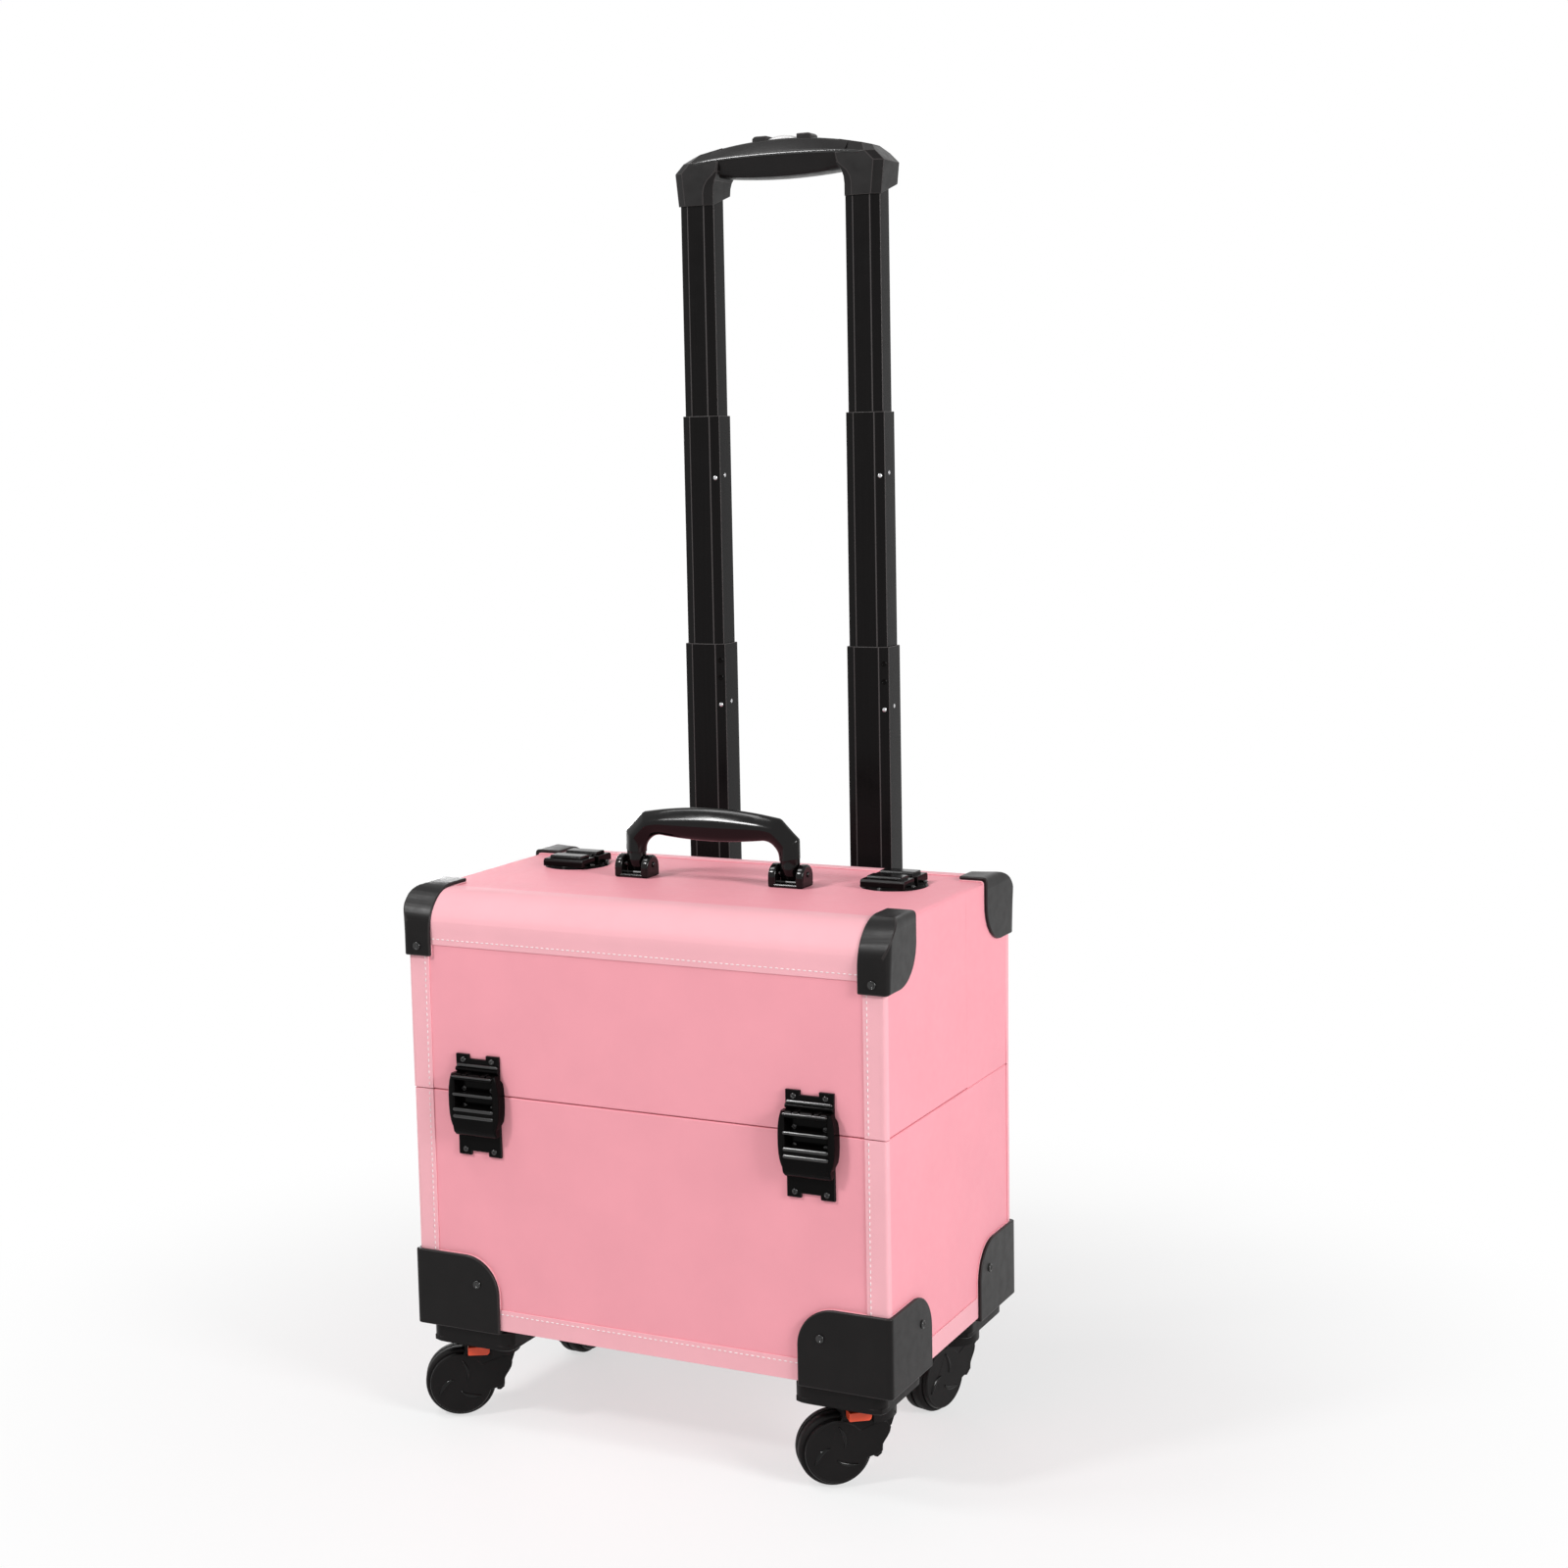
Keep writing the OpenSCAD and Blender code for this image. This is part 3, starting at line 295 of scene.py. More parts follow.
def make_finishes(context):
    """All finishes of the case, by name."""
    leather = context.scene.case_leather
    hardware = context.scene.case_hardware
    black = tuple(hardware.guard_colour)
    gloss = tuple(0.45*c for c in black)
    rubber = tuple(1.15*c for c in black)
    steel, aluminium, grey, charcoal = (0.62, 0.61, 0.60), (0.58, 0.58, 0.59), (0.62, 0.61, 0.61), (0.06, 0.05, 0.053)
    leather_finish("panel_leather", tuple(leather.panel_colour), leather.grain, 0.16)
    leather_finish("strip_leather", tuple(leather.strip_colour), leather.grain, 0.22)
    thread_finish("stitch_thread", tuple(leather.thread_colour))
    # Name, colour, roughness from and to, specular, texture per metre and its strength, how much paler the painted edge
    # highlights are
    for values in (
            ("guard_plastic", black, 0.28, 0.38, 0.16, 2600.0, 0.35, 4.0),
            ("handle_plastic", gloss, 0.1, 0.16, 0.22, 900.0, 0.05),
            ("grip_plastic", black, 0.3, 0.42, 0.18, 1800.0, 0.25, 6.0),
            ("caster_plastic", black, 0.34, 0.46, 0.13, 1500.0, 0.25, 5.0),
            ("tyre_rubber", rubber, 0.5, 0.62, 0.12, 1100.0, 0.3),
            ("buckle_enamel", gloss, 0.09, 0.15, 0.05, 700.0, 0.04, 8.0),
            ("bead_enamel", gloss, 0.1, 0.16, 0.6, 700.0, 0.03),
            ("brake_plastic", tuple(hardware.brake_colour), 0.32, 0.42, 0.4, 1400.0, 0.15),
            ("button_plastic", grey, 0.22, 0.32, 0.5, 1200.0, 0.1)):
        moulded_finish(*values)
    # Name, colour, metallic, roughness from and to, specular, axis of the lines, how much paler the painted edge
    # highlights are
    for values in (
            ("tube_anodised", tuple(hardware.tube_colour), 0.0, 0.2, 0.3, 0.065, 2, 12.0),
            ("bright_steel", steel, 1.0, 0.18, 0.3, 0.5, 0),
            ("rim_aluminium", aluminium, 1.0, 0.28, 0.4, 0.5, 0)):
        drawn_finish(*values)
    cloth_finish("lining_cloth", charcoal)


def finish_of(name):
    """A finish that make_finishes made."""
    return bpy.data.materials[name]


# Making meshes

# Folds sharper than these many degrees stay sharp
SHARP_FOLD, GRIP_FOLD, WHEEL_FOLD, HEAD_FOLD, BEAD_FOLD = 38.0, 32, 40, 50, 60
HEAD_STEPS = 28


def plain_mesh(holder):
    """Mesh of an object with its modifiers applied; the object goes."""
    graph = bpy.context.evaluated_depsgraph_get()
    made = bpy.data.meshes.new_from_object(holder.evaluated_get(graph), preserve_all_data_layers=True,
                                           depsgraph=graph)
    bpy.data.objects.remove(holder)
    return made


def hold(name, data):
    """Object that holds a mesh or curve while it is worked on."""
    holder = bpy.data.objects.new(name, data)
    bpy.context.scene.collection.objects.link(holder)
    return holder


def even_mesh(bm, name, sharp=SHARP_FOLD):
    """Finished mesh with smooth shading, sharp folds and flat faces that stay flat."""
    mesh = bpy.data.meshes.new(name)
    bm.to_mesh(mesh)
    bm.free()
    mesh.shade_smooth()
    mesh.set_sharp_from_angle(angle=math.radians(sharp))
    holder = hold(name + "_making", mesh)
    even = holder.modifiers.new("Even normals", "WEIGHTED_NORMAL")
    even.keep_sharp = True
    made = plain_mesh(holder)
    bpy.data.meshes.remove(mesh)
    return made


def seat(name, mesh, body, finish, stands_for=()):
    """Puts a finished mesh on its body, with its finish."""
    mesh.name = name
    mesh.materials.clear()
    mesh.materials.append(finish_of(finish))
    piece = hold(name, mesh)
    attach(piece, body)
    if stands_for:
        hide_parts(*stands_for)
    return piece


def add_piece(name, solid, node, finish, sharp=SHARP_FOLD, stands_for=()):
    """Finishes a solid and seats it on a CAD node's body."""
    return seat(name, even_mesh(solid, name, sharp), BODY_OF[node], finish, stands_for)


def node_copy(node):
    """A CAD node's solid with its loose triangles joined and its flat faces whole."""
    same_point, flat = 0.002*MM, math.radians(0.3)
    bm = bmesh.new()
    bm.from_mesh(frame["nodes"][node].data)
    bmesh.ops.remove_doubles(bm, verts=bm.verts, dist=same_point)
    bmesh.ops.dissolve_limit(bm, angle_limit=flat, verts=bm.verts, edges=bm.edges)
    return bm


def round_edges(bm, width, segments=2, least=30.0, pick=None):
    """Rounds the folds of a solid that are sharper than an angle."""
    rubbed = bm.faces.layers.float.get("rubbed") or bm.faces.layers.float.new("rubbed")
    folds = [edge for edge in bm.edges if edge.is_manifold
             and edge.calc_face_angle() > math.radians(least) and (pick is None or pick(edge))]
    made = bmesh.ops.bevel(bm, geom=folds, offset=width, segments=segments, profile=0.5, affect="EDGES",
                           clamp_overlap=True)
    # Marks the new rounded faces, where the finishes paint a paler edge highlight
    for face in made["faces"]:
        face[rubbed] = 1


def dress_node(node, finish, width, segments=2, least=30.0, pick=None, change=None):
    """Piece that stands for a CAD node, with rounded edges and its finish."""
    bm = node_copy(node)
    if change:
        change(bm)
    round_edges(bm, width, segments, least, pick)
    return add_piece(node + "_rounded", bm, node, finish, stands_for=[node])


def loft(rings, closed=False):
    """Solid through rings of points; with closed, the last ring joins the first."""
    bm = bmesh.new()
    rows = [[bm.verts.new(point) for point in ring] for ring in rings]
    pairs = list(zip(rows, rows[1:]))
    if closed:
        pairs.append((rows[-1], rows[0]))
    for a, b in pairs:
        for i in range(len(a)):
            j = (i + 1) % len(a)
            bm.faces.new((a[i], a[j], b[j], b[i]))
    if not closed:
        bm.faces.new(rows[0])
        bm.faces.new(rows[-1])
    bmesh.ops.recalc_face_normals(bm, faces=bm.faces)
    return bm


def circle(steps):
    """Cosine and sine of even turns round a circle."""
    turns = [2*math.pi*step/steps for step in range(steps)]
    return [(math.cos(turn), math.sin(turn)) for turn in turns]


def both_ways(reach, steps):
    """Even places from minus a reach to plus that reach."""
    return [reach*(2*step/steps - 1) for step in range(steps + 1)]


def both_halves(half):
    """A section's half and its mirror image, as one round of points."""
    return half + [(u, -v) for u, v in reversed(half)]


def lathe(profile, steps, closed=False):
    """Solid turned about Z from points of radius and height."""
    bm = bmesh.new()
    rows = [[bm.verts.new(Vector((r*c, r*s, h))*MM) for r, h in profile] for c, s in circle(steps)]
    count = len(profile)
    for a, b in zip(rows, rows[1:] + rows[:1]):
        for i in range(count if closed else count - 1):
            j = (i + 1) % count
            bm.faces.new((a[i], a[j], b[j], b[i]))
    same_point = 0.001*MM
    bmesh.ops.remove_doubles(bm, verts=bm.verts, dist=same_point)
    bmesh.ops.recalc_face_normals(bm, faces=bm.faces)
    return bm


def join(*solids):
    """Several solids in one."""
    whole = solids[0]
    for other in solids[1:]:
        spare = bpy.data.meshes.new("joining")
        other.to_mesh(spare)
        other.free()
        whole.from_mesh(spare)
        bpy.data.meshes.remove(spare)
    return whole


def extrude_outline(outline, low, high):
    """Solid from an outline drawn in X and Z, between two places along Y, in millimetres of the box."""
    return loft([[at(x, y, z) for x, z in outline] for y in (low, high)])


def islands(node):
    """Middle and size of each separate solid of a CAD node."""
    bm = node_copy(node)
    seen = set()
    found = []
    for start in bm.verts:
        if start in seen:
            continue
        group = [start]
        seen.add(start)
        for vert in group:
            for edge in vert.link_edges:
                other = edge.other_vert(vert)
                if other not in seen:
                    seen.add(other)
                    group.append(other)
        low = Vector(map(min, *[vert.co for vert in group]))
        high = Vector(map(max, *[vert.co for vert in group]))
        found.append(((low + high)/2, high - low))
    bm.free()
    return found


# Repeated pieces

def new_tree(name, inputs):
    """Geometry tree with named inputs, and its first and last node."""
    tree = bpy.data.node_groups.new(name, "GeometryNodeTree")
    tree.interface.new_socket("Geometry", in_out="INPUT", socket_type="NodeSocketGeometry")
    for label, kind in inputs.items():
        tree.interface.new_socket(label, in_out="INPUT", socket_type=kind)
    tree.interface.new_socket("Geometry", in_out="OUTPUT", socket_type="NodeSocketGeometry")
    return tree, add_node(tree, "NodeGroupInput"), add_node(tree, "NodeGroupOutput")


def end_tree(tree, first, last, instances):
    """Realizes the instances, smooths them and gives them their finish."""
    real = add_node(tree, "GeometryNodeRealizeInstances", {"Geometry": instances})
    smooth = add_node(tree, "GeometryNodeSetShadeSmooth", {"Geometry": real.outputs["Geometry"]})
    finish = add_node(tree, "GeometryNodeSetMaterial", {"Geometry": smooth.outputs["Geometry"],
                                                        "Material": first.outputs["Finish"]})
    tree.links.new(finish.outputs["Geometry"], last.inputs["Geometry"])


def stitch_tree():
    """Stitches along curves."""
    tree, first, last = new_tree("Stitches", {
        "Pitch": "NodeSocketFloat", "Stitch length": "NodeSocketFloat", "Thread radius": "NodeSocketFloat",
        "Seed": "NodeSocketInt", "Finish": "NodeSocketMaterial"})
    points = add_node(tree, "GeometryNodeResampleCurve", {
        "Curve": first.outputs["Geometry"], "Length": first.outputs["Pitch"]}, mode="LENGTH")
    bead = add_node(tree, "GeometryNodeMeshUVSphere", {"Segments": 8, "Rings": 5, "Radius": 0.5})
    across = maths(tree, "MULTIPLY", first.outputs["Thread radius"], 2.0)
    size = add_node(tree, "ShaderNodeCombineXYZ", {"X": first.outputs["Stitch length"], "Y": across, "Z": across})
    least, most, value = 2, 3, 1
    uneven = add_node(tree, "FunctionNodeRandomValue", {"Seed": first.outputs["Seed"], least: 0.9, most: 1.06},
                      data_type="FLOAT")
    scaled = add_node(tree, "ShaderNodeVectorMath", {0: size.outputs["Vector"], "Scale": uneven.outputs[value]},
                      operation="SCALE")
    tangent = add_node(tree, "GeometryNodeInputTangent")
    turn = add_node(tree, "FunctionNodeAlignRotationToVector", {"Vector": tangent.outputs["Tangent"]}, axis="X")
    placed = add_node(tree, "GeometryNodeInstanceOnPoints", {
        "Points": points.outputs["Curve"], "Instance": bead.outputs["Mesh"],
        "Rotation": turn.outputs["Rotation"], "Scale": scaled.outputs["Vector"]})
    end_tree(tree, first, last, placed.outputs["Instances"])
    return tree


def stud_tree():
    """Heads on points, each standing along its point's facing."""
    tree, first, last = new_tree("Studs", {"Head": "NodeSocketObject", "Finish": "NodeSocketMaterial"})
    head = add_node(tree, "GeometryNodeObjectInfo", {"Object": first.outputs["Head"]})
    facing = add_node(tree, "GeometryNodeInputNamedAttribute", {"Name": "facing"}, data_type="FLOAT_VECTOR")
    turn = add_node(tree, "FunctionNodeAlignRotationToVector", {"Vector": facing.outputs["Attribute"]}, axis="Z")
    placed = add_node(tree, "GeometryNodeInstanceOnPoints", {
        "Points": first.outputs["Geometry"], "Instance": head.outputs["Geometry"],
        "Rotation": turn.outputs["Rotation"]})
    end_tree(tree, first, last, placed.outputs["Instances"])
    return tree


def grow(holder, tree, values):
    """Runs a geometry tree on an object and gives the plain mesh."""
    run = holder.modifiers.new(tree.name, "NODES")
    run.node_group = tree
    for item in tree.interface.items_tree:
        if item.item_type == "SOCKET" and item.in_out == "INPUT" and item.name in values:
            run[item.identifier] = values[item.name]
    return plain_mesh(holder)


def sew(name, lines, body):
    """Stitched seams along lines of points."""
    leather = bpy.context.scene.case_leather
    path = bpy.data.curves.new(name, "CURVE")
    path.dimensions = "3D"
    for line in lines:
        spline = path.splines.new("POLY")
        spline.points.add(len(line) - 1)
        for point, place in zip(spline.points, line):
            point.co = (*place, 1)
    mesh = grow(hold(name + "_path", path), bpy.data.node_groups["Stitches"], {
        "Pitch": leather.stitch_pitch, "Stitch length": leather.stitch_length,
        "Thread radius": leather.thread_radius, "Seed": 7, "Finish": finish_of("stitch_thread")})
    return seat(name, mesh, body, "stitch_thread")


def stud(name, head, places, body, finish, stands_for=()):
    """Heads of one shape at places, each a point and the way it faces."""
    points = bpy.data.meshes.new(name + "_points")
    points.from_pydata([place for place, _ in places], [], [])
    facing = points.attributes.new("facing", "FLOAT_VECTOR", "POINT")
    for value, (_, way) in zip(facing.data, places):
        value.vector = way
    mesh = grow(hold(name + "_points", points), bpy.data.node_groups["Studs"],
                {"Head": head, "Finish": finish_of(finish)})
    return seat(name, mesh, body, finish, stands_for)


def head_places(node):
    """Seat and facing of each round head of a CAD node."""
    places = []
    for middle, size in islands(node):
        thin = min(range(3), key=lambda i: size[i])
        way = Vector((0, 0, 0))
        way[thin] = 1 if thin == 2 or middle[thin] > ORIGIN[thin] else -1
        places.append((middle - way*size[thin]/2, way))
    return places


def turned_head(name, profile, steps=HEAD_STEPS, sharp=HEAD_FOLD):
    """Small turned head, held as an object."""
    return hold(name, even_mesh(lathe(profile, steps), name, sharp))


def rivet_head():
    """Rolled rivet: a raised ring round a sunk middle."""
    profile = [(0, 0.3), (1.1, 0.32), (1.5, 0.5), (1.85, 0.9), (2.2, 1.15), (2.55, 1.1), (2.85, 0.8), (3.0, 0.35),
               (3.0, 0), (0, 0)]
    return turned_head("rivet_head", profile)


def screw_head():
    """Pan screw head with a cross recess."""
    profile = [(0, 0.95), (0.9, 0.92), (1.5, 0.8), (1.9, 0.55), (2.1, 0.25), (2.1, 0), (0, 0)]
    screw = turned_head("screw_head", profile)
    half, arm, deep, high = 0.2, 1.2, 0.45, 2.0
    cross = [(-half, arm), (-half, half), (-arm, half), (-arm, -half), (-half, -half), (-half, -arm),
             (half, -arm), (half, -half), (arm, -half), (arm, half), (half, half), (half, arm)]
    cutter_mesh = bpy.data.meshes.new("cross_cutter")
    cut = loft([[Vector((x, y, z))*MM for x, y in cross] for z in (deep, high)])
    cut.to_mesh(cutter_mesh)
    cut.free()
    cutter = hold("cross_cutter", cutter_mesh)
    recess = screw.modifiers.new("Cross", "BOOLEAN")
    recess.operation = "DIFFERENCE"
    recess.object = cutter
    made = plain_mesh(screw)
    bpy.data.objects.remove(cutter)
    return hold("screw_head", made)


# Pieces

# How square the tightened corners are, and the edge radii of the base, the upper sides and the top
CRISP = 6
BASE_ROUND, SIDE_ROUND, TOP_ROUND = 4, 5, 28


def square_off(side, out):
    """How much a point in a rounded corner moves out, for a tighter corner."""
    reach = math.hypot(side, out)
    return ((side/reach)**CRISP + (out/reach)**CRISP)**(-1/CRISP) - 1


def tight_corners(bm):
    """Draws the rounded edges of the covered board out to tighter ones."""
    seam_margin, least = 0.3, 0.01
    for vert in bm.verts:
        spot = (vert.co - ORIGIN)/MM
        in_base = spot.z < SEAM_Z + seam_margin
        soft = BASE_ROUND if in_base else SIDE_ROUND
        run, rise = abs(spot.y) - CASE_D/2 + TOP_ROUND, spot.z - TOP_Z + TOP_ROUND
        if in_base or rise < 0:
            way, out = Vector((0, 1, 0)), run
        elif run < 0:
            way, out = Vector((0, 0, 1)), rise
        else:
            way, out = Vector((0, run, rise)).normalized(), math.hypot(run, rise)
        out -= TOP_ROUND - soft
        side = abs(spot.x) - CASE_W/2 + soft
        if side > least and out > least:
            step = (way*out + Vector((side, 0, 0)))*square_off(side, out)*MM
            vert.co += Vector((math.copysign(step.x, spot.x), math.copysign(step.y, spot.y), step.z))


class CASE_OT_leather_panels(bpy.types.Operator):
    """Covers the lower section, the lid and the rear hood with leather"""
    bl_idname = "makeup_case.leather_panels"
    bl_label = "Leather panels"

    def execute(self, context):
        lip, shut, same_place = 1.1*MM, 0.1*MM, 0.01*MM
        wall, band, above_seam = 4.5, 2.5*MM, 1.2
        seam_high = (SEAM_Z + above_seam)*MM + ORIGIN.z

        def at_seam(edge):
            outside = max(abs(v.co.x - ORIGIN.x) for v in edge.verts) > (CASE_W/2 - wall)*MM or \
                max(abs(v.co.y - ORIGIN.y) for v in edge.verts) > (CASE_D/2 - wall)*MM
            return outside and all(seam_high - band < v.co.z < seam_high for v in edge.verts)

        def close_split(bm):
            tight_corners(bm)
            for vert in bm.verts:
                if abs(vert.co.y - SPLIT_FRONT) < same_place:
                    vert.co.y = (SPLIT_FRONT + SPLIT_REAR - shut)/2
                elif abs(vert.co.y - SPLIT_REAR) < same_place:
                    vert.co.y = (SPLIT_FRONT + SPLIT_REAR + shut)/2

        for node in ("base_shell", "rear_hood", "lid_shell"):
            dress_node(node, "panel_leather", lip, 3, pick=at_seam, change=close_split)
        return {"FINISHED"}


class CASE_OT_edge_strips(bpy.types.Operator):
    """Lays the leather strips over the edges"""
    bl_idname = "makeup_case.edge_strips"
    bl_label = "Edge strips"

    def execute(self, context):
        strip_round = 0.35*MM
        for node in ("base_binding", "hood_binding", "lid_binding"):
            dress_node(node, "strip_leather", strip_round, least=40, change=tight_corners)
        return {"FINISHED"}


class CASE_OT_stitching(bpy.types.Operator):
    """Sews the strips down"""
    bl_idname = "makeup_case.stitching"
    bl_label = "Stitching"

    def execute(self, context):
        stitch_tree()
        proud, strip, inset = 0.85, 15.0, 3.0
        top_strip, top_inset = 36, 4.2
        guard_gap, upright_gap = 1.5, 1
        above_seam, below_seam = SEAM_Z + 4, SEAM_Z - 3
        upright = CASE_W/2 - strip + inset
        top_line, bottom_line = TOP_Z - top_strip + top_inset, strip - inset
        lower_guard, upper_guard = span("lower_guard_front_left"), span("upper_guard_front_left")
        lower_end, upper_end = lower_guard[1].z + upright_gap, upper_guard[0].z - upright_gap
        bottom_half, top_half = -lower_guard[1].x - guard_gap, -upper_guard[1].x - guard_gap
        for side, upper_body, face in ((-1, "lid", "front"), (1, "case", "rear")):
            y = side*(CASE_D/2 + proud)
            sew("upper_stitches_" + face, [
                [at(-top_half, y, top_line), at(top_half, y, top_line)],
                *[[at(x, y, above_seam), at(x, y, upper_end)] for x in (-upright, upright)]], upper_body)
            sew("lower_stitches_" + face, [
                [at(-bottom_half, y, bottom_line), at(bottom_half, y, bottom_line)],
                *[[at(x, y, lower_end), at(x, y, below_seam)] for x in (-upright, upright)]], "case")
        return {"FINISHED"}


class CASE_OT_corner_guards(bpy.types.Operator):
    """Moulds the eight corner guards"""
    bl_idname = "makeup_case.corner_guards"
    bl_label = "Corner guards"

    def execute(self, context):
        width = context.scene.case_hardware.guard_round
        for level in ("lower", "upper"):
            for corner in CORNERS:
                dress_node(f"{level}_guard_{corner}", "guard_plastic", width, 3, least=35, change=tight_corners)
        return {"FINISHED"}


class CASE_OT_rivets_and_screws(bpy.types.Operator):
    """Sets the rivets of the guards and the screws of the buckles"""
    bl_idname = "makeup_case.rivets_and_screws"
    bl_label = "Rivets and screws"

    def execute(self, context):
        stud_tree()
        rivet, screw = rivet_head(), screw_head()
        for node in ("base_rivets", "lid_rivets"):
            stud(node + "_domed", rivet, head_places(node), BODY_OF[node], "bead_enamel", [node])
        for node in ("base_screws", "lid_screws"):
            stud(node + "_crossed", screw, head_places(node), BODY_OF[node], "bead_enamel", [node])
        for head in (rivet, screw):
            bpy.data.objects.remove(head)
        return {"FINISHED"}


def rod(x, half, y, z, radius):
    """Bar along X with rounded ends, in millimetres of the box."""
    sides, shoulder, taper = 12, 0.4, 1.2
    right_end = [(half - taper, 1), (half - shoulder, 0.75), (half, 0.3)]
    left_end = [(-reach, share) for reach, share in reversed(right_end)]
    return loft([[at(x + reach, y + share*radius*c, z + share*radius*s) for c, s in circle(sides)]
                 for reach, share in left_end + right_end])


LEVER_HALF = 17.3
LEVER_FACE = -CASE_D/2 - 9.6
LEVER_BACK = -CASE_D/2 - 2.6
# Place of a latch's pin in Y and Z
LATCH_PIN = (-CASE_D/2 - 6.35, SEAM_Z + 13)
# Distance in front of the case, rise above the seam and radius of a latch's beads
LEVER_BEADS = ((10.1, 14.0, 0.8), (9.3, 1.2, 1.25), (9.1, -9.6, 1.5), (9.1, -14.4, 1.5))
PLATE_BEAD = (2.2, 20.2, 1.5)


def lever_rail(x, side):
    """Bowed rail on one side of a latch lever, with a skirt where it stands clear of the plates."""
    inner, edge, skirt = 15.2, 1.6, 1.4
    skirt_foot = -CASE_D/2 - 0.5
    bow = ((15.5, 17.9), (12.5, 18.9), (9.5, 19.6), (5.5, 20.2), (0, 20.5), (-7, 20.5), (-13, 20.1), (-17, 19.4),
           (-20, 18.5), (-22, 17.6))
    rings = []
    for rise, outer in bow:
        foot = skirt_foot if outer > LEVER_HALF + edge else LEVER_BACK
        section = [(inner, LEVER_BACK), (inner, LEVER_FACE + 1), (inner + 1, LEVER_FACE), (outer - edge, LEVER_FACE),
                   (outer - 0.5, LEVER_FACE + 0.7), (outer, LEVER_FACE + 2), (outer, foot), (outer - skirt, foot),
                   (outer - skirt, LEVER_BACK)]
        rings.append([at(x + side*u, y, SEAM_Z + rise) for u, y in section])
    return loft(rings)


def lever_lip(x):
    """Smooth lip of a latch lever, drawn in towards its end."""
    bevel = 0.8
    levels = ((-8, 0, 0.6), (-16, 0, 0), (-22, 0, 0.2), (-26, 0, 1.3), (-28, 0.5, 2.8), (-28.8, 1.5, 4.2))
    rings = []
    for rise, narrow, sink in levels:
        half, front = LEVER_HALF - narrow, LEVER_FACE + sink
        section = [(-half, LEVER_BACK), (-half, front + bevel), (-half + bevel, front), (half - bevel, front),
                   (half, front + bevel), (half, LEVER_BACK)]
        rings.append([at(x + u, y, SEAM_Z + rise) for u, y in section])
    return loft(rings)


def lever_body(x):
    """Latch lever about its middle: bowed rails, bars across, a smooth lip and a split knuckle."""
    knuckle, outer_knuckle, outer_half, middle_half = 2.6, 13.5, 3.8, 5.2
    bar_inset = 1.5
    reach = LEVER_HALF - bar_inset
    solids = []
    for side in (-1, 1):
        solids += [lever_rail(x, side), rod(x + side*outer_knuckle, outer_half, *LATCH_PIN, knuckle)]
    solids += [rod(x, middle_half, *LATCH_PIN, knuckle), lever_lip(x)]
    for low, high, near, far in ((11.8, 14.2, -0.6, 0.2), (0, 2.4, 0.2, 3.5)):
        bar = [(-reach, low), (reach, low), (reach, high), (-reach, high)]
        solids.append(extrude_outline([(x + u, SEAM_Z + rise) for u, rise in bar],
                                      LEVER_FACE + near, LEVER_FACE + far))
    return join(*solids)


def latch_bead(x, half, out, rise, radius):
    """Bead across a latch, in front of the case and above the seam."""
    return rod(x, half, -CASE_D/2 - out, SEAM_Z + rise, radius)


def hinge_body(low, high, front):
    """Raised body of half a top buckle, sloped away from the hinge line, and the cap on its back."""
    knuckle, edge = 2.6, 0.5*MM
    # Half width, then distance from the hinge line and height above the top
    shapes = ((16.5, ((2.9, 1.5), (2.9, 6.4), (3.4, 6.9), (19.6, 6.9), (21, 5.4), (21, 1.5))),
              (13, ((4.4, 6), (5.2, 8.4), (6, 9.1), (16.4, 9.1), (17.4, 8.2), (17.6, 6))))
    x = (low.x + high.x)/2
    line = high.y - knuckle if front else low.y + knuckle
    away = -1 if front else 1
    solids = []
    for half, shape in shapes:
        solid = loft([[at(x + u, line + away*y, TOP_Z + z) for y, z in shape] for u in (-half, half)])
        round_edges(solid, edge, least=25)
        solids.append(solid)
    return solids


def smaller_dish(node):
    """Change that draws in the round base plate of a top buckle."""
    line, kept_radius, draw = 31.0, 22, 0.1*MM
    low, high = span(node)
    x = (low.x + high.x)/2

    def change(bm):
        for vert in bm.verts:
            spot = (vert.co - ORIGIN)/MM
            if math.hypot(spot.x - x, spot.y - line) > kept_radius:
                vert.co += Vector((x - spot.x, line - spot.y, 0))*draw
    return change


class CASE_OT_buckles(bpy.types.Operator):
    """Stamps and enamels the front latches and the top buckles"""
    bl_idname = "makeup_case.buckles"
    bl_label = "Buckles"

    def execute(self, context):
        width = context.scene.case_hardware.metal_round
        lever_inset, plate_inset = 1, 0.6
        for side in SIDES:
            for part in ("latch_plate", "latch_keeper"):
                dress_node(f"{part}_{side}", "buckle_enamel", width, 3)
            for part in ("hinge_front", "hinge_rear"):
                node = f"{part}_{side}"
                dress_node(node, "buckle_enamel", width, 3, change=smaller_dish(node))
                body, cap = hinge_body(*span(node), part == "hinge_front")
                add_piece(node + "_body", body, node, "buckle_enamel")
                add_piece(node + "_cap", cap, node, "handle_plastic")
            node, plate = "latch_lever_" + side, "latch_plate_" + side
            low, high = span(node)
            x = (low.x + high.x)/2
            add_piece(node + "_bowed", lever_body(x), node, "buckle_enamel", stands_for=[node])
            beads = [latch_bead(x, LEVER_HALF - lever_inset, *bead) for bead in LEVER_BEADS]
            add_piece(node + "_beads", join(*beads), node, "bead_enamel", BEAD_FOLD)
            bead = latch_bead(x, LEVER_HALF - plate_inset, *PLATE_BEAD)
            add_piece(plate + "_bead", bead, plate, "bead_enamel", BEAD_FOLD)
        return {"FINISHED"}


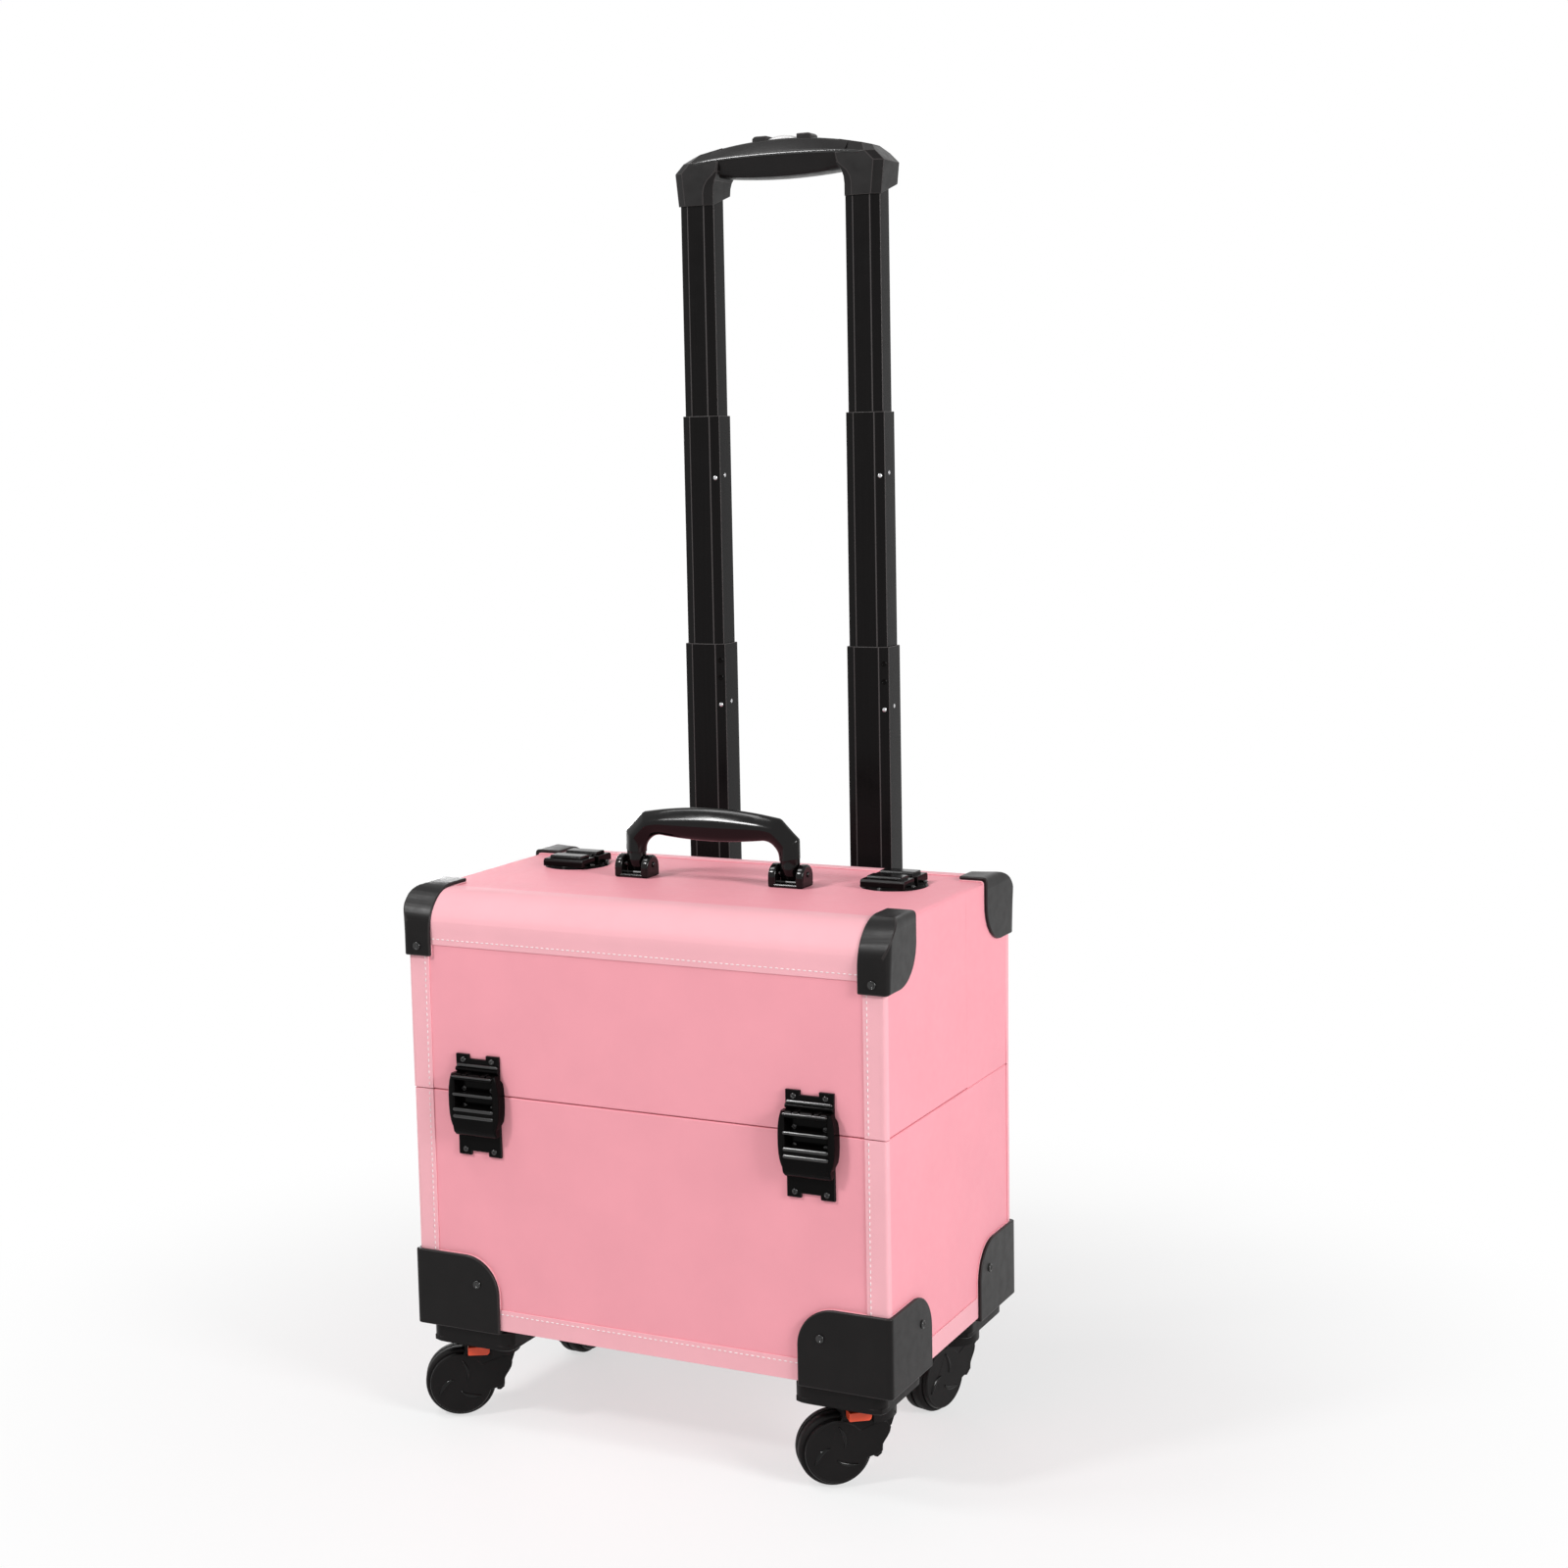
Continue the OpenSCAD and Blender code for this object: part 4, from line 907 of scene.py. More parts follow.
def handle_rings():
    """Rings of the carry handle from its left foot to its right foot."""
    low, high = span("carry_handle")
    pin_rise, leg_wide, tall = 5.5, 14.5, 52
    bend, belly, arch, arch_in = 13, 2.5, 5, 14
    corner_from, corner_to, opening = 33, 47, 31
    middle_y, thick = (low.y + high.y)/2, (high.y - low.y)/2
    pin_z = low.z + pin_rise
    leg_out, rise = high.x, high.z
    leg_in, base = leg_out - leg_wide, rise - tall
    corner_low, corner_high = base + corner_from, base + corner_to
    arch_half, belly_half = leg_out - arch_in, leg_in - bend
    arch_r = (arch_half**2 + arch**2)/(2*arch)
    belly_r = (belly_half**2 + belly**2)/(2*belly)
    inner_top = base + opening
    section = [(1.0, 0.0), (0.985, 0.2), (0.94, 0.36), (0.82, 0.6), (0.7, 0.81), (0.62, 0.92), (0.54, 0.985),
               (0.49, 1.0), (0.43, 0.985), (0.32, 0.9), (0.16, 0.72), (0.05, 0.45), (0.0, 0.15)]
    section += [(u, -v) for u, v in reversed(section[1:])]

    def ring(outer, inner, half):
        return [at(inner[0] + u*(outer[0] - inner[0]), middle_y + v*half, inner[1] + u*(outer[1] - inner[1]))
                for u, v in section]

    def back_z(x):
        return rise - arch_r + math.sqrt(arch_r**2 - x**2)

    # Height and half thickness of the leg's foot
    foot = ((low.z + 0.1, 1.2), (low.z + 0.9, 3.0), (low.z + 2.5, 4.6), (pin_z, 5.9), (pin_z + 2, 6.6),
            (pin_z + 4, 6.7), (pin_z + 6, 6.3), (pin_z + 9, 6.1), (pin_z + 12, 6.4))
    half_rings = [ring((-leg_out, z), (-leg_in, z), half) for z, half in foot]
    outer_line = [(-leg_out, base + 20), (-leg_out, base + 26), (-leg_out, corner_low - 1),
                  (-leg_out + 0.2, corner_low + 0.5), (-leg_out + 4, corner_low + 4), (-leg_out + 9, corner_low + 9),
                  (-arch_half - 0.7, corner_high - 0.7), (-arch_half + 0.9, corner_high + 0.25),
                  (-arch_half + 6, back_z(-arch_half + 6)), (-leg_in + bend, back_z(-leg_in + bend))]
    swell, swell_step = 1, 0.4
    for step, outer in enumerate(outer_line):
        turn = math.pi - math.pi/2*step/(len(outer_line) - 1)
        inner = (-leg_in + bend + bend*math.cos(turn), inner_top - bend + bend*math.sin(turn))
        half_rings.append(ring(outer, inner, thick + max(0, swell - swell_step*step)))
    bar_steps = 14
    for step in range(1, bar_steps + 1):
        x = (-leg_in + bend)*(1 - step/bar_steps)
        belly_z = inner_top - belly + belly_r - math.sqrt(belly_r**2 - x**2)
        half_rings.append(ring((x, back_z(x)), (x, belly_z), thick))
    mirrored = [[Vector((2*ORIGIN.x - p.x, p.y, p.z)) for p in points] for points in reversed(half_rings[:-1])]
    return half_rings + mirrored


def bracket_solid(low, high):
    """Bracket of the carry handle: a foot and two domed ears."""
    foot, ear, edge, steps = 3, 5.9, 1.5*MM, 14
    middle_y, half = (low.y + high.y)/2, (high.y - low.y)/2
    dome = high.z - half
    outline = [(-half, low.z), (half, low.z)]
    outline += [(half*math.cos(math.pi*i/steps), dome + half*math.sin(math.pi*i/steps)) for i in range(steps + 1)]
    solids = []
    for start, end in ((low.x, low.x + ear), (high.x - ear, high.x)):
        solids.append(loft([[at(x, middle_y + y, z) for y, z in outline] for x in (start, end)]))
    base = [(low.x, low.y), (high.x, low.y), (high.x, high.y), (low.x, high.y)]
    solids.append(loft([[at(x, y, z) for x, y in base] for z in (low.z, low.z + foot)]))
    for solid in solids:
        round_edges(solid, edge, 3, least=40)
    return join(*solids)


class CASE_OT_carry_handle(bpy.types.Operator):
    """Moulds the carry handle and its brackets"""
    bl_idname = "makeup_case.carry_handle"
    bl_label = "Carry handle"

    def execute(self, context):
        pin_rise, head_proud, head_half, head_radius = 9, 0.1, 0.9, 2.0
        add_piece("carry_handle_moulded", loft(handle_rings()), "carry_handle", "handle_plastic", GRIP_FOLD,
                  ["carry_handle"])
        for side in SIDES:
            node = "handle_bracket_" + side
            low, high = span(node)
            add_piece(node + "_domed", bracket_solid(low, high), node, "handle_plastic", stands_for=[node])
            heads = [rod(x, head_half, (low.y + high.y)/2, low.z + pin_rise, head_radius)
                     for x in (low.x - head_proud, high.x + head_proud)]
            add_piece(node + "_pin_heads", join(*heads), node, "handle_plastic")
        return {"FINISHED"}


class CASE_OT_telescopic_tubes(bpy.types.Operator):
    """Draws the telescopic tubes, with their lock holes and pins, and the clamps that hold them"""
    bl_idname = "makeup_case.telescopic_tubes"
    bl_label = "Telescopic tubes"

    def execute(self, context):
        tube_round = 0.6*MM
        for side in SIDES:
            for stage in ("trolley_sleeve", "lower_tube", "middle_tube", "upper_tube"):
                dress_node(f"{stage}_{side}", "tube_anodised", tube_round, least=15)
        dress_node("trolley_brackets", "guard_plastic", context.scene.case_hardware.moulded_round)
        ball_profile = [(0, 0.4), (0.8, 0.35), (1.3, 0.18), (1.5, 0), (0, 0)]
        hole_profile = [(0, 0.06), (1.1, 0.08), (1.3, 0.22), (1.7, 0.3), (2.0, 0.15), (2.0, 0), (0, 0)]
        ball_steps, hole_steps = 16, 20
        ball = turned_head("lock_ball", ball_profile, ball_steps, SHARP_FOLD)
        hole = turned_head("lock_hole", hole_profile, hole_steps, SHARP_FOLD)
        bevel_in, bevel_deep = 3.5, 1.5
        front_drop, side_drop = 46, 44
        front_way, side_way = Vector((3, -7, 0)).normalized(), Vector((1, 0, 0))
        for stage, hole_drops in (("lower_tube", (12.4, 25.5)), ("middle_tube", ())):
            balls, holes = [], []
            for side in SIDES:
                low, high = span(f"{stage}_{side}")
                bevel_x, bevel_y = high.x - bevel_in, low.y + bevel_deep
                balls.append((at(bevel_x, bevel_y, high.z - front_drop), front_way))
                balls.append((at(high.x, (low.y + high.y)/2, high.z - side_drop), side_way))
                holes += [(at(bevel_x, bevel_y, high.z - drop), front_way) for drop in hole_drops]
            body = BODY_OF[stage + "_left"]
            stud(stage + "_lock_balls", ball, balls, body, "bright_steel")
            if holes:
                stud(stage + "_lock_holes", hole, holes, body, "buckle_enamel")
        for head in (ball, hole):
            bpy.data.objects.remove(head)
        return {"FINISHED"}


# Rise of the pull grip's arched back, how far its ends lie inside the caps' and the height and sag of its belly
GRIP_ARCH, GRIP_ARCH_IN = 9, 12
GRIP_BELLY_IN, GRIP_BELLY_Z, GRIP_BELLY_SAG = 32.4, 20, 3


def grip_back_z(high, x):
    """Height of the pull grip's arched back at a place along X."""
    half = high.x - GRIP_ARCH_IN
    radius = (half**2 + GRIP_ARCH**2)/(2*GRIP_ARCH)
    return high.z - radius + math.sqrt(radius**2 - x**2)


def grip_bar(low, high):
    """Bar of the pull grip, seen along X: an arched back, a ridge in front and behind, and a belly."""
    steps, into_cap = 24, 3
    middle_y, depth = (low.y + high.y)/2, (high.y - low.y)/2
    half = high.x - GRIP_BELLY_IN
    belly_r = (half**2 + GRIP_BELLY_SAG**2)/(2*GRIP_BELLY_SAG)
    section = both_halves([(0.0, 0.3), (0.03, 0.5), (0.14, 0.66), (0.5, 0.94), (0.56, 0.985), (0.6, 0.995),
                           (0.66, 0.96), (0.93, 0.62), (0.985, 0.5), (1.0, 0.36)])
    rings = []
    for x in both_ways(half + into_cap, steps):
        top = grip_back_z(high, x)
        sag = belly_r - math.sqrt(belly_r**2 - min(abs(x), half)**2)
        bottom = low.z + GRIP_BELLY_Z - GRIP_BELLY_SAG + sag
        rings.append([at(x, middle_y + v*depth, bottom + u*(top - bottom)) for u, v in section])
    return loft(rings)


def grip_cap(low, high, side):
    """One end of the pull grip: a cap over the tube with bevelled corners and a sloped shoulder, longer in front."""
    front_x, front_y, rear = 7, 3.5, 2
    rear_lift, edge, lean_share = 8.5, 0.9*MM, 0.46
    middle_y, lean = (low.y + high.y)/2, lean_share*(high.y - low.y)/2
    outer_end, inner_end = high.x - GRIP_ARCH_IN, 47

    def outline(outer, inner, front, back, bevel):
        return [(inner + front_x*bevel, front), (outer - front_x, front), (outer, front + front_y),
                (outer, back - rear), (outer - rear, back), (inner + rear, back), (inner, back - rear),
                (inner, front + front_y*bevel)]

    # Height, outer and inner side, and share of the bevel on the inner front corner
    levels = [(0, 81.95, 53, 1), (9, 82.9, 53, 1), (14, 83.4, 52.6, 0.9), (18, 83.8, 51.4, 0.7),
              (21, 84.1, 49.5, 0.45), (24, high.x, 48, 0.2), (31, high.x - 7, inner_end, 0.1)]
    rings = []
    for rise, outer, inner, bevel in levels:
        lift = rear_lift if rise == 0 else 0
        rings.append([at(side*x, y, low.z + rise + (lift if y > middle_y else 0))
                      for x, y in outline(outer, inner, low.y, high.y, bevel)])
    rings.append([at(side*x, y, grip_back_z(high, x))
                  for x, y in outline(outer_end, inner_end, low.y + lean, high.y - lean, 0.1)])
    bm = loft(rings)
    round_edges(bm, edge, least=14)
    return bm


def grip_ridge(low, high):
    """Fine bead along the front ridge of the pull grip, from cap to cap."""
    steps, sides = 28, 8
    end_in, level, sunk = 16, 0.58, 0.6
    radius, tip_radius = 1.3, 0.5
    reach = high.x - end_in
    rings = []
    for x in both_ways(reach, steps):
        sag = GRIP_BELLY_SAG*max(0, 1 - (x/(high.x - GRIP_BELLY_IN))**2)
        bottom = low.z + GRIP_BELLY_Z - sag
        z = bottom + level*(grip_back_z(high, x) - bottom)
        thick = radius if abs(x) < reach else tip_radius
        rings.append([at(x, low.y + sunk + thick*c, z + thick*s) for c, s in circle(sides)])
    return loft(rings)


def button_lug(low, high, side):
    """Bevelled lug at one end of the release button."""
    bevel_x, bevel_z, edge = 2, 1.6, 0.8*MM
    length = high.x - low.x
    outer, inner = side*length/2, side*(length/2 - length/4)
    lug = extrude_outline([(outer, low.z), (outer, high.z - bevel_z), (outer - side*bevel_x, high.z),
                           (inner, high.z), (inner, low.z)], low.y, high.y)
    round_edges(lug, edge, least=25)
    return lug


def button_cap(low, high):
    """Pale crowned cap between the release button's lugs."""
    steps, into_lug, inset = 16, 0.5, 0.6
    base, below_lugs, crown = 1, 0.4, 2.4
    reach = (high.x - low.x)/4 + into_lug
    middle_y, depth = (low.y + high.y)/2, (high.y - low.y)/2 - inset
    section = both_halves([(0.0, 1.0), (0.8, 1.0), (0.93, 0.9), (1.0, 0.62)])
    rings = []
    for x in both_ways(reach, steps):
        bottom, top = low.z + base, high.z - below_lugs - crown*(x/reach)**2
        rings.append([at(x, middle_y + v*depth, bottom + u*(top - bottom)) for u, v in section])
    return loft(rings)


class CASE_OT_pull_grip(bpy.types.Operator):
    """Moulds the pull handle's grip and its release button"""
    bl_idname = "makeup_case.pull_grip"
    bl_label = "Pull grip"

    def execute(self, context):
        low, high = span("trolley_grip")
        grip = join(grip_bar(low, high), grip_cap(low, high, -1), grip_cap(low, high, 1))
        add_piece("pull_grip_moulded", grip, "trolley_grip", "grip_plastic", GRIP_FOLD, ["trolley_grip"])
        add_piece("pull_grip_ridge", grip_ridge(low, high), "trolley_grip", "bead_enamel", BEAD_FOLD)
        low, high = span("release_button")
        lugs = join(button_lug(low, high, -1), button_lug(low, high, 1))
        add_piece("release_button_lugs", lugs, "release_button", "grip_plastic", stands_for=["release_button"])
        add_piece("release_button_cap", button_cap(low, high), "release_button", "button_plastic")
        return {"FINISHED"}


# Half width and radius of a wheel's covers, with their inner faces
COVER_OUT, COVER_IN, COVER_RADIUS = 12.0, 8.5, 21.9
# Least and most radius of a wheel's hood, with its inner radius and half width
HOOD_RADII, HOOD_IN, HOOD_HALF = (31.2, 39.5), 26.1, 10.6
# Ends of the hood, in degrees from the swivel's side
HOOD_ENDS = (-16, 41)
# Inner and outer end of a caster block along X, and half the length of its CAD solid
BLOCK_ENDS, BLOCK_HALF = (109.5, 175), 33


def wheel_solid():
    """Wheel about Z: a hub, a flat disc and a tyre with a groove round its tread."""
    steps = 72
    half = [(3.6, 7.6), (4.4, 7.7), (19.6, 7.7), (20.2, 8.0), (22.6, 8.0), (23.6, 7.6), (24.4, 6.8), (24.9, 5.6),
            (25.0, 4.2), (25.0, 1.2), (24.6, 0.8), (23.6, 0.6)]
    return lathe(both_halves(half), steps, closed=True)


def ease(share):
    """Smooth step from 0 to 1."""
    share = min(max(share, 0), 1)
    return share*share*(3 - 2*share)


def hood_share(turn):
    """How far a wheel's cover reaches out to its hood, at an angle from the swivel's side in degrees."""
    run_out = 12
    return ease(min(turn - HOOD_ENDS[0], HOOD_ENDS[1] - turn)/run_out)


def hood_radius(turn):
    """Outer radius of a wheel's hood, wider towards the fork's arm, at an angle in degrees."""
    start, run = 2, 20
    return HOOD_RADII[0] + (HOOD_RADII[1] - HOOD_RADII[0])*ease((turn - start)/run)


def round_point(radius, away, turn):
    """Point about a wheel's axle, with X to the swivel, at an angle in degrees."""
    angle = math.radians(turn)
    return Vector((radius*math.cos(angle), away, radius*math.sin(angle)))*MM


def wheel_cover(face):
    """Round cover on one side of a wheel, drawn out to the hood."""
    steps = 90
    rings = []
    for away, inset in ((COVER_IN, 0), (10.6, 0), (11.6, 0.5), (COVER_OUT, 1.6), (COVER_OUT - 0.3, 2.4)):
        ring = []
        for step in range(steps):
            turn = 360*step/steps - 180
            radius = COVER_RADIUS + (hood_radius(turn) - COVER_RADIUS)*hood_share(turn) - inset
            ring.append(round_point(radius, face*away, turn))
        rings.append(ring)
    return loft(rings)


def wheel_hood():
    """Hood over a wheel's tread, between its covers."""
    steps, lead, tip = 12, 3, 2
    crown, edge, edge_wide = 0.1, 0.9, 1.2
    rings = []
    for step in range(steps + 1):
        turn = HOOD_ENDS[0] + lead + (HOOD_ENDS[1] - HOOD_ENDS[0] - lead)*step/steps
        outer = hood_radius(turn) - (tip if step == 0 else 0)
        section = both_halves([(HOOD_IN, -HOOD_HALF), (outer - edge, -HOOD_HALF),
                               (outer - crown, -HOOD_HALF + edge_wide)])
        rings.append([round_point(radius, away, turn) for radius, away in section])
    return loft(rings)


def cover_swirls():
    """Raised swirls on both covers of a wheel, about Z."""
    swirls, steps = 3, 8
    inner_radius, reach, slant = 5.5, 11.5, 0.9
    start, sweep, straighten = 0.5, 1.5, 0.5
    tip_wide, swell, swell_start, swell_run = 0.25, 1.3, 0.08, 0.84
    # Place across a swirl and height above the cover
    section = ((-1, -0.5), (-0.6, 0.4), (0, 0.55), (0.6, 0.4), (1, -0.5))
    solids = []
    for face in (-1, 1):
        for swirl in range(swirls):
            rings = []
            for step in range(steps + 1):
                share = step/steps
                radius = inner_radius + reach*share
                turn = 2*math.pi*swirl/swirls + start + sweep*share - straighten*share*share
                wide = tip_wide + swell*math.sin(math.pi*(swell_start + swell_run*share))
                across = Vector((-math.sin(turn + slant), math.cos(turn + slant), 0))
                middle = Vector((radius*math.cos(turn), radius*math.sin(turn), 0))
                rings.append([(middle + across*wide*u + Vector((0, 0, face*(COVER_OUT + v))))*MM for u, v in section])
            solids.append(loft(rings))
    return join(*solids)


def tab_shape(bm):
    """Turns a brake tab into a plain, taller tab."""
    taller, flat = 1.35, math.radians(1)
    middle = sum((vert.co.z for vert in bm.verts), 0.0)/len(bm.verts)
    for vert in bm.verts:
        vert.co.z = middle + taller*(vert.co.z - middle)
    hull = bmesh.ops.convex_hull(bm, input=bm.verts)
    kept = {item for item in hull["geom"] if isinstance(item, bmesh.types.BMFace)}
    bmesh.ops.delete(bm, geom=[face for face in bm.faces if face not in kept], context="FACES_ONLY")
    bmesh.ops.delete(bm, geom=[edge for edge in bm.edges if not edge.link_faces], context="EDGES")
    bmesh.ops.delete(bm, geom=[vert for vert in bm.verts if not vert.link_faces], context="VERTS")
    bmesh.ops.dissolve_limit(bm, angle_limit=flat, verts=bm.verts, edges=bm.edges)


def block_shape(bm):
    """Sets the caster blocks in from the case's sides."""
    deep, bore_room = 12, 20
    low, high = span("caster_blocks")
    swivel = high.x - BLOCK_HALF
    for vert in bm.verts:
        spot = (vert.co - ORIGIN)/MM
        if spot.z > high.z - deep and abs(abs(spot.x) - swivel) > bore_room:
            step = BLOCK_ENDS[1] - high.x if abs(spot.x) > swivel else BLOCK_ENDS[0] - high.x + 2*BLOCK_HALF
            vert.co.x += (step if spot.x > 0 else -step)*MM


def block_skirts():
    """Skirts under the caster blocks, open round the forks' housings."""
    low, high = span("caster_blocks")
    block_high, drop, room, edge, overlap = 10, 3.4, 22.2, 0.8, 0.6
    steps, square = 64, 12
    top, bottom = high.z - block_high + overlap, high.z - block_high - drop
    middle, half_x = sum(BLOCK_ENDS)/2, (BLOCK_ENDS[1] - BLOCK_ENDS[0])/2
    around = circle(steps)

    def outer_ring(x, y, z, inset):
        ring = []
        for c, s in around:
            reach = (abs(c)**square + abs(s)**square)**(-1/square)
            ring.append(at(x + (half_x - inset)*reach*c, y + (BLOCK_HALF - inset)*reach*s, z))
        return ring

    skirts = []
    for side_x in (-1, 1):
        for side_y in (-1, 1):
            swivel_x, swivel_y = side_x*(high.x - BLOCK_HALF), side_y*(high.y - BLOCK_HALF)
            rings = [outer_ring(side_x*middle, swivel_y, z, inset)
                     for z, inset in ((top, 0), (bottom + edge, 0), (bottom, edge))]
            rings += [[at(swivel_x + room*c, swivel_y + room*s, z) for c, s in around] for z in (bottom, top)]
            skirts.append(loft(rings, closed=True))
    return join(*skirts)


class CASE_OT_casters(bpy.types.Operator):
    """Builds the four swivel casters with their brake tabs"""
    bl_idname = "makeup_case.casters"
    bl_label = "Casters"

    def execute(self, context):
        block_round, tab_round, fork_share = 1.4*MM, 0.7*MM, 0.7
        fork_round = context.scene.case_hardware.moulded_round*fork_share
        dress_node("caster_blocks", "caster_plastic", block_round, 3, change=block_shape)
        add_piece("caster_blocks_skirts", block_skirts(), "caster_blocks", "caster_plastic")
        for corner, short in zip(CORNERS, ("fl", "fr", "rl", "rr")):
            fork, node = "fork_" + corner, "wheel_" + corner
            dress_node(fork, "caster_plastic", fork_round, 3)
            low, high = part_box(node)
            axle = Vector(JOINTS["roll_" + short]["axis"])
            to_axle = Matrix.Translation((low + high)/2)
            about_axle = axle.to_track_quat("Z", "Y").to_matrix().to_4x4()
            to_swivel = Matrix(((-axle.y, -axle.x, 0), (axle.x, -axle.y, 0), (0, 0, 1))).to_4x4()
            wheel, swirls, covers = wheel_solid(), cover_swirls(), join(wheel_cover(-1), wheel_cover(1), wheel_hood())
            for solid, turn in ((wheel, about_axle), (swirls, about_axle), (covers, to_swivel)):
                bmesh.ops.transform(solid, matrix=to_axle @ turn, verts=solid.verts)
            add_piece(node + "_tyred", wheel, node, "tyre_rubber", WHEEL_FOLD, [node])
            add_piece(fork + "_covers", covers, fork, "caster_plastic", WHEEL_FOLD)
            add_piece(fork + "_swirls", swirls, fork, "handle_plastic", BEAD_FOLD)
        for side in SIDES:
            dress_node("brake_tab_" + side, "brake_plastic", tab_round, 3, change=tab_shape)
        return {"FINISHED"}


class CASE_OT_inner_parts(bpy.types.Operator):
    """Gives the linings, the rim, the pins and the release rods their finishes"""
    bl_idname = "makeup_case.inner_parts"
    bl_label = "Inner parts"

    def execute(self, context):
        finishes = {"base_lining": "lining_cloth", "hood_lining": "lining_cloth", "lid_lining": "lining_cloth",
                    "base_rim": "rim_aluminium", "hinge_pins": "bright_steel", "lid_pins": "bright_steel",
                    "release_rods": "bright_steel"}
        for node, finish in finishes.items():
            for place in frame["nodes"][node].material_slots:
                place.material = finish_of(finish)
        return {"FINISHED"}


# Name, place and size in metres, and the setting that holds the power of each lamp
LAMPS = (("side_lamp", (2.3, -0.75, 1.2), 0.8, "side_power"),
         ("front_lamp", (-0.95, -1.5, 1.75), 0.3, "front_power"),
         ("top_lamp", (-0.8, -0.5, 2.05), 0.5, "top_power"),
         ("back_lamp", (-1.7, 1.8, 0.42), 0.7, "back_power"))
LAMP_AIM = Vector((0, 0, 0.32))


